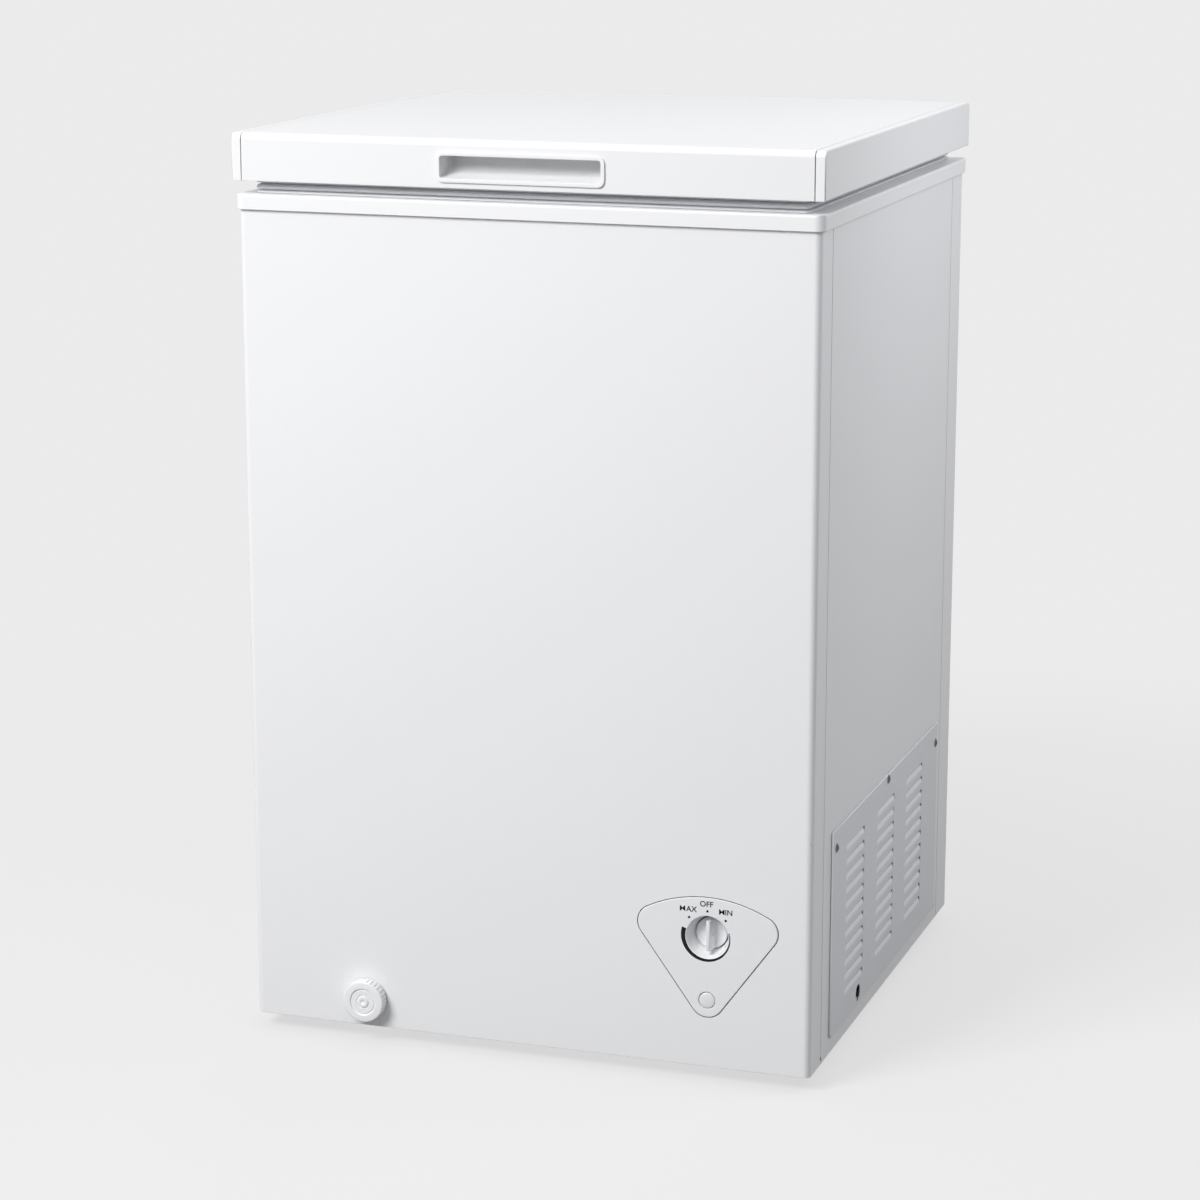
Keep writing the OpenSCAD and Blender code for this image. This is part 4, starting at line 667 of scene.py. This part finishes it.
# How far in from the lid's edge, and how high, the outer half of the section runs
gasket_section = [
    (13.4, 807.0), (12.4, 806.7), (12.0, 806.0), (12.1, 805.0), (12.8, 804.5), (15.2, 804.3),
    (15.6, 803.7), (14.4, 803.1), (12.7, 802.3), (12.05, 801.0), (12.05, 800.2), (12.5, 799.2),
    (13.8, 798.5), (15.8, 798.2), (16.0, 797.6), (13.6, 797.2), (12.4, 796.8), (12.0, 796.2),
    (12.1, 795.5), (13.0, 795.08)]
seal_outer = [(inset * MM, height * MM) for inset, height in gasket_section]
seal_inner = [(2 * SEAL_MIDDLE - inset, height) for inset, height in reversed(seal_outer)]
seal_path = seal_outer + seal_inner + seal_outer[:1]


def rounded_plate(name, width, depth, corner, steps=6):
    """A flat plate with round corners, lying about the origin and facing up, opened for
    shaping."""
    bpy.ops.object.select_all(action="DESELECT")
    bpy.ops.mesh.primitive_plane_add(size=1, location=(0, 0, 0))
    plate = bpy.context.object
    plate.name = name
    plate.scale = (width, depth, 1)
    settle(plate)
    edit(plate)
    bpy.ops.mesh.select_all(action="SELECT")
    bpy.ops.mesh.bevel(offset=corner, segments=steps, affect="VERTICES")
    return plate


at, level = seal_path[0]
gasket = rounded_plate("lid_gasket_bellows", SEAL_WIDTH - 2 * at, LID_DEPTH - 2 * at,
                       GASKET_CORNER)
bpy.ops.mesh.delete(type="ONLY_FACE")
bpy.ops.mesh.select_all(action="SELECT")
bpy.ops.transform.translate(value=(0, 0, level))
for inset, height in seal_path[1:]:
    bpy.ops.mesh.extrude_edges_move(TRANSFORM_OT_translate={"value": (0, 0, height - level)})
    bpy.ops.transform.resize(
        value=((SEAL_WIDTH - 2 * inset) / (SEAL_WIDTH - 2 * at),
               (LID_DEPTH - 2 * inset) / (LID_DEPTH - 2 * at), 1),
        center_override=(0, 0, height))
    at, level = inset, height
close_up(gasket)
settle(gasket, (0, LID_MIDDLE_Y, 0))
smooth(gasket, 50)
vinyl = finish("grey_vinyl", (0.70, 0.705, 0.73), 0.5, drift=0.06, drift_scale=20, edge_wear_and_highlight_amount=0,
               smudge=0.12, grain_scale=1200, tooth=0.6, grain_depth=0.00004, soften=0)
gasket.data.materials.append(vinyl)
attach(gasket, "lid")
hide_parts("lid_gasket")

# ---------------------------------------------------------------- handle
# A white moulded cup let into the lid's front: a round-edged frame that laps over the cut-out,
# and a finger recess whose back is scooped. It is clipped in before the foam is poured.
HANDLE_WIDTH, HANDLE_HEIGHT, HANDLE_CORNER = 157 * MM, 27 * MM, 6.4 * MM
HANDLE_Z = 825.5 * MM
HANDLE_RIM, HANDLE_PROUD = 3.4 * MM, 1.6 * MM
HANDLE_WALL, HANDLE_ROUND = 1.1 * MM, 0.5 * MM
# How deep the recess runs, and how far its floor has risen there: a scoop for the fingers
scoop = [(4, 0.6), (8, 1.5), (12, 2.5), (16, 3.7), (19.5, 5.0), (22.5, 6.5), (25.2, 8.3),
         (27.6, 10.5), (29.4, 12.9), (30.6, 15.2), (31.4, 17.2)]
UPRIGHT = (math.pi / 2, 0, 0)    # turns a piece that was made lying down to face the front
handle = rounded_plate("handle_cup", HANDLE_WIDTH, HANDLE_HEIGHT, HANDLE_CORNER, 8)
bpy.ops.mesh.select_all(action="SELECT")
bpy.ops.mesh.inset(thickness=HANDLE_RIM, depth=0)
mouth = HANDLE_HEIGHT - 2 * HANDLE_RIM
tall, deep = mouth, 0
for depth, rise in scoop:
    now_tall, now_deep = mouth - rise * MM, depth * MM
    bpy.ops.mesh.extrude_region_move(TRANSFORM_OT_translate={"value": (0, 0, deep - now_deep)})
    bpy.ops.transform.resize(value=(1, now_tall / tall, 1),
                             center_override=(0, mouth / 2, -now_deep))
    tall, deep = now_tall, now_deep
done()
refine(handle, "SOLIDIFY", thickness=HANDLE_WALL, offset=-1)
refine(handle, "BEVEL", width=HANDLE_ROUND, segments=3, limit_method="ANGLE",
       angle_limit=math.radians(50))
settle(handle, (0, LID_FRONT_Y - HANDLE_PROUD, HANDLE_Z), UPRIGHT)
smooth(handle, 30)
handle_plastic = finish("handle_plastic", (0.862, 0.864, 0.872), 0.3, drift=0.01,
                        edge_colour=(0.9, 0.9, 0.9), grain_scale=900, tooth=0.5,
                        grain_depth=0.00002, soften=0)
handle.data.materials.append(handle_plastic)
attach(handle, "lid")
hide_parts("handle_insert")

# ---------------------------------------------------------------- control panel and its print
# A fan-shaped white moulding behind a matching hole in the front panel, with a conical bowl
# for the knob. Its scale is pad-printed in black: three marks and a band that grows with cold.
PANEL_Y = -272.5 * MM
PANEL_PROUD = 0.8 * MM
PANEL_SHARE = 0.994    # the face that stands proud, against the hole round it
# How far in, and how far forward, each step of its rounded edge goes
EDGE_STEPS = ((0.14 * MM, 0.25 * MM), (0.32 * MM, 0.20 * MM))
KNOB_X, KNOB_Z = 175.5 * MM, 139 * MM
LENS_Z = 78.52 * MM
PANEL_MIDDLE = (KNOB_X, PANEL_Y, 125 * MM)    # as far from all three sides


def on_front(f):
    """Whether a face is the panel's flat front."""
    return f.normal.y < -0.99 and abs(f.calc_center_median().y - PANEL_Y) < NEAR


panel = copied("panel_moulding", "control_panel")
pick(panel, "faces", on_front)
bpy.ops.transform.translate(
    value=(0, sum(forward for inwards, forward in EDGE_STEPS) - PANEL_PROUD, 0))
bpy.ops.transform.resize(value=(PANEL_SHARE, 1, PANEL_SHARE), center_override=PANEL_MIDDLE)
for inwards, forward in EDGE_STEPS:
    bpy.ops.mesh.inset(thickness=inwards, depth=forward)
done()
even(panel, 32)
panel_plastic = finish("panel_plastic", (0.835, 0.838, 0.850), 0.38, drift=0.01,
                       edge_colour=(0.9, 0.9, 0.9), grain_scale=1100, tooth=0.6,
                       grain_depth=0.00002, soften=0)
panel.data.materials.append(panel_plastic)
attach(panel, "cabinet")
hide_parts("control_panel")

# A thin dark rubber strip fills the gap between the moulding and the edge of its hole: a
# painted shadow in place of the gap's shade. It is drawn from the outline of the moulding's
# face, first made a little smaller than the gap
GAP_SHADOW_SUNK, GAP_SHADOW_THICK = 0.12 * MM, 0.5 * MM
GAP_SHADOW_IN, GAP_SHADOW_OUT = 0.99, 1.03
BOWL_REACH, LENS_REACH = 24 * MM, 10 * MM


def near_hole(v):
    """Whether a point is on the edge of the bowl or of the lens's hole."""
    return (math.hypot(v.co.x - KNOB_X, v.co.z - KNOB_Z) < BOWL_REACH or
            math.hypot(v.co.x - KNOB_X, v.co.z - LENS_Z) < LENS_REACH)


panel_gap_shadow = copied("panel_gap_shadow", "control_panel")
pick(panel_gap_shadow, "faces", lambda f: not on_front(f))
bpy.ops.mesh.delete(type="FACE")
pick(panel_gap_shadow, "edges", lambda e: e.is_boundary and not near_hole(e.verts[0]))
bpy.ops.mesh.duplicate()
bpy.ops.mesh.select_all(action="INVERT")
bpy.ops.mesh.delete(type="VERT")
bpy.ops.mesh.select_all(action="SELECT")
bpy.ops.transform.translate(value=(0, GAP_SHADOW_SUNK, 0))
bpy.ops.transform.resize(value=(GAP_SHADOW_IN, 1, GAP_SHADOW_IN), center_override=PANEL_MIDDLE)
bpy.ops.mesh.extrude_edges_move()
bpy.ops.transform.resize(value=(GAP_SHADOW_OUT, 1, GAP_SHADOW_OUT), center_override=PANEL_MIDDLE)
bpy.ops.mesh.select_all(action="SELECT")
bpy.ops.mesh.extrude_region_move(TRANSFORM_OT_translate={"value": (0, GAP_SHADOW_THICK, 0)})
close_up(panel_gap_shadow)
panel_gap_shadow.data.materials.append(rubber)
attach(panel_gap_shadow, "cabinet")

# The words and marks stand on the moulding as a thin layer of ink
PRINT_Y = PANEL_Y - PANEL_PROUD
INK = 0.06 * MM
LETTER_SIZE, LETTER_GAP, LETTER_BOLD = 7.2 * MM, 0.75 * MM, 0.12 * MM
M_BOLD, M_WIDER = 0.02 * MM, 1.12    # a bold M would close up, so it is lighter and wider
DOT_RADIUS, DOTS_AT = 1.15 * MM, 24.5 * MM
ink = finish("black_ink", (0.006, 0.006, 0.006), 0.6, drift=0.2, drift_scale=200, edge_wear_and_highlight_amount=0,
             smudge=0.1, grain_scale=1600, soften=0, Specular_IOR_Level=0.2)


def lettering(text, bolder, wider, start):
    """Raised letters that begin this far to the right, and the place where they end."""
    bpy.ops.object.select_all(action="DESELECT")
    bpy.ops.object.text_add(location=(0, 0, 0))
    letters = bpy.context.object
    letters.data.body = text
    letters.data.size = LETTER_SIZE
    letters.data.offset = bolder
    letters.data.align_y = "CENTER"
    letters.data.extrude = INK / 2
    bpy.ops.object.convert(target="MESH")
    letters = bpy.context.object
    letters.scale = (wider, 1, 1)
    settle(letters)
    ends = [v.co.x for v in letters.data.vertices]
    settle(letters, (start - min(ends), 0, 0))
    return letters, start + max(ends) - min(ends)


for word, degrees, text_x, text_z in (("MAX", -45, -18.0, 25.0), ("OFF", 0, -0.8, 31.0),
                                      ("MIN", 45, 17.2, 24.9)):
    parts = [(word, LETTER_BOLD, 1)]
    if word[0] == "M":
        parts = [("M", M_BOLD, M_WIDER), (word[1:], LETTER_BOLD, 1)]
    drawn, word_end = [], -LETTER_GAP
    for text, bolder, wider in parts:
        letters, word_end = lettering(text, bolder, wider, word_end + LETTER_GAP)
        drawn.append(letters)
    bpy.ops.object.select_all(action="DESELECT")
    for letters in drawn:
        letters.select_set(True)
    if len(drawn) > 1:
        bpy.ops.object.join()
    letters = bpy.context.object
    letters.name = "print_" + word.lower()
    settle(letters, (KNOB_X + text_x * MM - word_end / 2, PRINT_Y - INK / 2,
                     KNOB_Z + text_z * MM), UPRIGHT)
    dot = disc("print_dot_" + word.lower(), DOT_RADIUS, INK)
    around = math.radians(degrees)
    settle(dot, (KNOB_X + DOTS_AT * math.sin(around), PRINT_Y,
                 KNOB_Z + DOTS_AT * math.cos(around)), UPRIGHT)
    for mark in (letters, dot):
        mark.data.materials.clear()
        mark.data.materials.append(ink)
        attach(mark, "cabinet")

# The band is broad beside MAX and thins towards MIN, the long way round under the knob
BAND_OUT, BAND_IN, BAND_TIP = 25.2 * MM, 20.8 * MM, 21.5 * MM
BAND_FROM, BAND_TO, BAND_STEPS = math.radians(-72), math.radians(-286), 72
bpy.ops.object.select_all(action="DESELECT")
bpy.ops.mesh.primitive_plane_add(size=1, location=(0, 0, 0))
band = bpy.context.object
band.name = "print_band"
edit(band)
bpy.ops.mesh.select_all(action="SELECT")
bpy.ops.mesh.delete(type="ONLY_FACE")
bpy.ops.mesh.select_all(action="SELECT")
bpy.ops.mesh.merge(type="CENTER")


def clock(angle, radius):
    """A point at this angle from the top, clockwise as the user sees the dial."""
    return Vector((radius * math.sin(angle), radius * math.cos(angle), 0))


here = clock(BAND_FROM, BAND_IN)
bpy.ops.transform.translate(value=here)
there = clock(BAND_FROM, BAND_OUT)
bpy.ops.mesh.extrude_vertices_move(TRANSFORM_OT_translate={"value": there - here})
bpy.ops.mesh.select_all(action="SELECT")
for step in range(1, BAND_STEPS + 1):
    share = step / BAND_STEPS
    angle = BAND_FROM + (BAND_TO - BAND_FROM) * share
    bpy.ops.mesh.extrude_edges_move()
    mesh = bmesh.from_edit_mesh(band.data)
    inner, outer = sorted((v for v in mesh.verts if v.select), key=lambda v: v.co.length)
    inner.co = clock(angle, BAND_IN)
    outer.co = clock(angle, BAND_OUT + (BAND_TIP - BAND_OUT) * share)
    bmesh.update_edit_mesh(band.data)
bpy.ops.mesh.select_all(action="SELECT")
bpy.ops.mesh.extrude_region_move(TRANSFORM_OT_translate={"value": (0, 0, INK)})
close_up(band)
settle(band, (KNOB_X, PRINT_Y, KNOB_Z), UPRIGHT)
band.data.materials.append(ink)
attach(band, "cabinet")

# ---------------------------------------------------------------- knob
# A white moulded disc with a tapered grip across it, pushed onto the thermostat's shaft. It
# sits at the bottom of the bowl with a narrow gap all round.


def turned(name, section, steps):
    """A round piece turned from (radius, height) points, which run from the middle of its
    face over its edge to its back. It faces up."""
    bpy.ops.object.select_all(action="DESELECT")
    bpy.ops.mesh.primitive_plane_add(size=1, location=(0, 0, 0))
    piece = bpy.context.object
    piece.name = name
    edit(piece)
    bpy.ops.mesh.select_all(action="SELECT")
    bpy.ops.mesh.merge(type="CENTER")
    radius, height = section[0]
    bpy.ops.transform.translate(value=(radius, 0, height))
    for next_radius, next_height in section[1:]:
        bpy.ops.mesh.extrude_vertices_move(
            TRANSFORM_OT_translate={"value": (next_radius - radius, 0, next_height - height)})
        radius, height = next_radius, next_height
    bpy.ops.mesh.select_all(action="SELECT")
    bpy.ops.mesh.spin(steps=steps, angle=math.tau, center=(0, 0, 0), axis=(0, 0, 1))
    close_up(piece)
    return piece


def in_mm(points):
    """The same points, given in millimetres."""
    return [(radius * MM, height * MM) for radius, height in points]


knob = turned("knob_disc", in_mm([
    (0, -12.3), (12.9, -12.3), (13.3, -12.15), (13.9, -12.15), (14.35, -12.4), (14.6, -12.9),
    (14.6, -15.2), (14.3, -15.6), (13.8, -15.7), (0, -15.7)]), 96)
GRIP_WIDTH, GRIP_LENGTH, GRIP_HEIGHT = 7 * MM, 30 * MM, 11.6 * MM
GRIP_TOP_Z = -1.2 * MM
GRIP_TAPER = 0.5       # its width at the top against that at the disc
GRIP_ROUND, GRIP_REACH = 1.1 * MM, 14 * MM
grip = block("grip", (GRIP_WIDTH, GRIP_LENGTH, GRIP_HEIGHT), (0, 0, GRIP_TOP_Z - GRIP_HEIGHT / 2))
edit(grip)
pick(grip, "faces", lambda f: f.normal.z > 0.9)
bpy.ops.transform.resize(value=(GRIP_TAPER, 1, 1), center_override=(0, 0, GRIP_TOP_Z))
pick(grip, "edges", lambda e: all(v.co.z > GRIP_TOP_Z - NEAR for v in e.verts) and
     abs(e.verts[0].co.y - e.verts[1].co.y) > GRIP_LENGTH / 2)
bpy.ops.mesh.bevel(offset=GRIP_ROUND, segments=4, affect="EDGES")
done()
# Its ends are cut off round, inside the disc's edge
bpy.ops.object.select_all(action="DESELECT")
bpy.ops.mesh.primitive_cylinder_add(vertices=96, radius=GRIP_REACH, depth=40 * MM,
                                    location=(0, 0, 0))
trimmer = bpy.context.object
refine(grip, "BOOLEAN", operation="INTERSECT", object=trimmer, solver="EXACT")
bpy.data.objects.remove(trimmer)
refine(knob, "BOOLEAN", operation="UNION", object=grip, solver="EXACT")
bpy.data.objects.remove(grip)
refine(knob, "BEVEL", width=0.3 * MM, segments=2, limit_method="ANGLE",
       angle_limit=math.radians(50))
settle(knob, (KNOB_X, PANEL_Y, KNOB_Z), UPRIGHT)
smooth(knob, 35)
knob_plastic = finish("knob_plastic", (0.80, 0.803, 0.815), 0.3, drift=0.02, edge_wear_and_highlight_amount=0.4,
                      edge_colour=(0.88, 0.88, 0.88), grain_scale=1100, tooth=0.5,
                      grain_depth=0.00002, soften=0)
knob.data.materials.append(knob_plastic)
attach(knob, "knob")
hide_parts("control_knob")

# A dark rubber disc under the knob darkens the gap round it: painted shade
knob_gap_shade = turned("knob_gap_shade_disc", in_mm([(6, -15.95), (6, -15.75), (15.5, -15.75),
                                      (15.5, -15.95), (6, -15.95)]), 64)
settle(knob_gap_shade, (KNOB_X, PANEL_Y, KNOB_Z), UPRIGHT)
knob_gap_shade.data.materials.append(rubber)
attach(knob_gap_shade, "cabinet")

# ---------------------------------------------------------------- indicator lens and lamp
# A low domed button of translucent white plastic pressed into the panel's foot, with a small
# neon lamp behind it.
lens = turned("lens_dome", in_mm([
    (0, 0.42), (2.4, 0.38), (4.6, 0.27), (6.3, 0.08), (7.0, -0.12), (7.3, -0.4), (7.4, -0.9),
    (7.4, -2.4), (0, -2.4)]), 64)
settle(lens, (KNOB_X, PRINT_Y, LENS_Z), UPRIGHT)
smooth(lens, 40)
lens_plastic = finish("lens_plastic", (0.80, 0.802, 0.812), 0.3, drift=0.01, grain_scale=900,
                      soften=0)
lens.data.materials.append(lens_plastic)
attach(lens, "cabinet")
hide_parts("indicator_lens")
lamp_glass = finish("lamp_glass", (0.85, 0.45, 0.16), 0.12, drift=0.1, drift_scale=80,
                    soften=0, Transmission_Weight=0.6)
dress(lamp_glass, "indicator_lamp")

# ---------------------------------------------------------------- drain
# A white moulded cap that the user pulls out and turns to let the meltwater run. Its face is
# turned in rings and its rim is notched for grip; a sleeve and a tube lead back to the tank.
DRAIN_X, DRAIN_Z = -158.5 * MM, 42 * MM
DIAL_RADIUS = 20 * MM
NOTCHES, NOTCH_WIDTH = 30, 0.4      # how many, and how much of its pitch each takes up
NOTCH_FOOT = (0.94, 0.94, 1)        # the foot of a notch against the rim
dial = turned("drain_cap", in_mm([
    (0, 11.9), (1.4, 12.0), (2.1, 12.8), (2.6, 13.0), (4.7, 13.0), (5.2, 12.8), (5.5, 11.7),
    (6.4, 11.6), (6.9, 12.3), (11.0, 12.4), (11.5, 11.6), (12.4, 11.5), (12.8, 12.7),
    (13.3, 13.0), (18.3, 13.0), (19.2, 12.8), (19.8, 12.3), (20.0, 11.6), (20.0, 3.2),
    (19.8, 1.9), (19.5, 1.5), (18.0, 1.5), (18.0, 10.6), (8.4, 10.6), (0, 10.6)]), 120)
edit(dial)
pick(dial, "verts", lambda v: v.co.xy.length > DIAL_RADIUS - NEAR and
     abs(math.atan2(v.co.y, v.co.x) / math.tau * NOTCHES % 1 - 0.5) < NOTCH_WIDTH / 2)
bpy.ops.transform.resize(value=NOTCH_FOOT, center_override=(0, 0, 0))
done()
settle(dial, (DRAIN_X, PANEL_Y, DRAIN_Z), UPRIGHT)
smooth(dial, 28)
drain_white = finish("drain_white", (0.862, 0.864, 0.870), 0.33, drift=0.015,
                     drift_scale=30, edge_colour=(0.9, 0.9, 0.9), grain_scale=1000, tooth=0.5,
                     grain_depth=0.00002, soften=0)
dial.data.materials.append(drain_white)
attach(dial, "drain_cap")
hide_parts("drain_dial")
dress(drain_white, "drain_spout", "drain_sleeve", "drain_tube", "drain_socket")

# ---------------------------------------------------------------- hinges
# Brackets and leaves folded from zinc-plated steel, with a coil spring on each pin to carry
# the lid. Bright pan-head screws hold them to the back of the cabinet and of the lid.
dress(zinc, "hinge_brackets", "lid_hinge_leaves", "hinge_pins")
plated = finish("plated_screw", (0.50, 0.50, 0.51), 0.22, drift=0.2, drift_scale=120,
                edge_colour=(0.75, 0.75, 0.76), edge_wear_and_highlight_amount=0.8, smudge=0.2, grain_scale=900,
                grain_depth=0.00002, soften=0.0003, Metallic=1.0)
dress(plated, "hinge_springs", "bracket_screws", "leaf_screws")

# ---------------------------------------------------------------- basket
# Steel wire, spot-welded and dipped in white plastic. It hangs by its bent arms from the
# frame round the tank, and slides along it.
coating = finish("dipped_wire", (0.86, 0.862, 0.865), 0.35, drift=0.02, drift_scale=12,
                 edge_wear_and_highlight_amount=0, grain_scale=500, grain_depth=0.00006, soften=0, Coat_Weight=0.3)
dress(coating, "wire_basket")
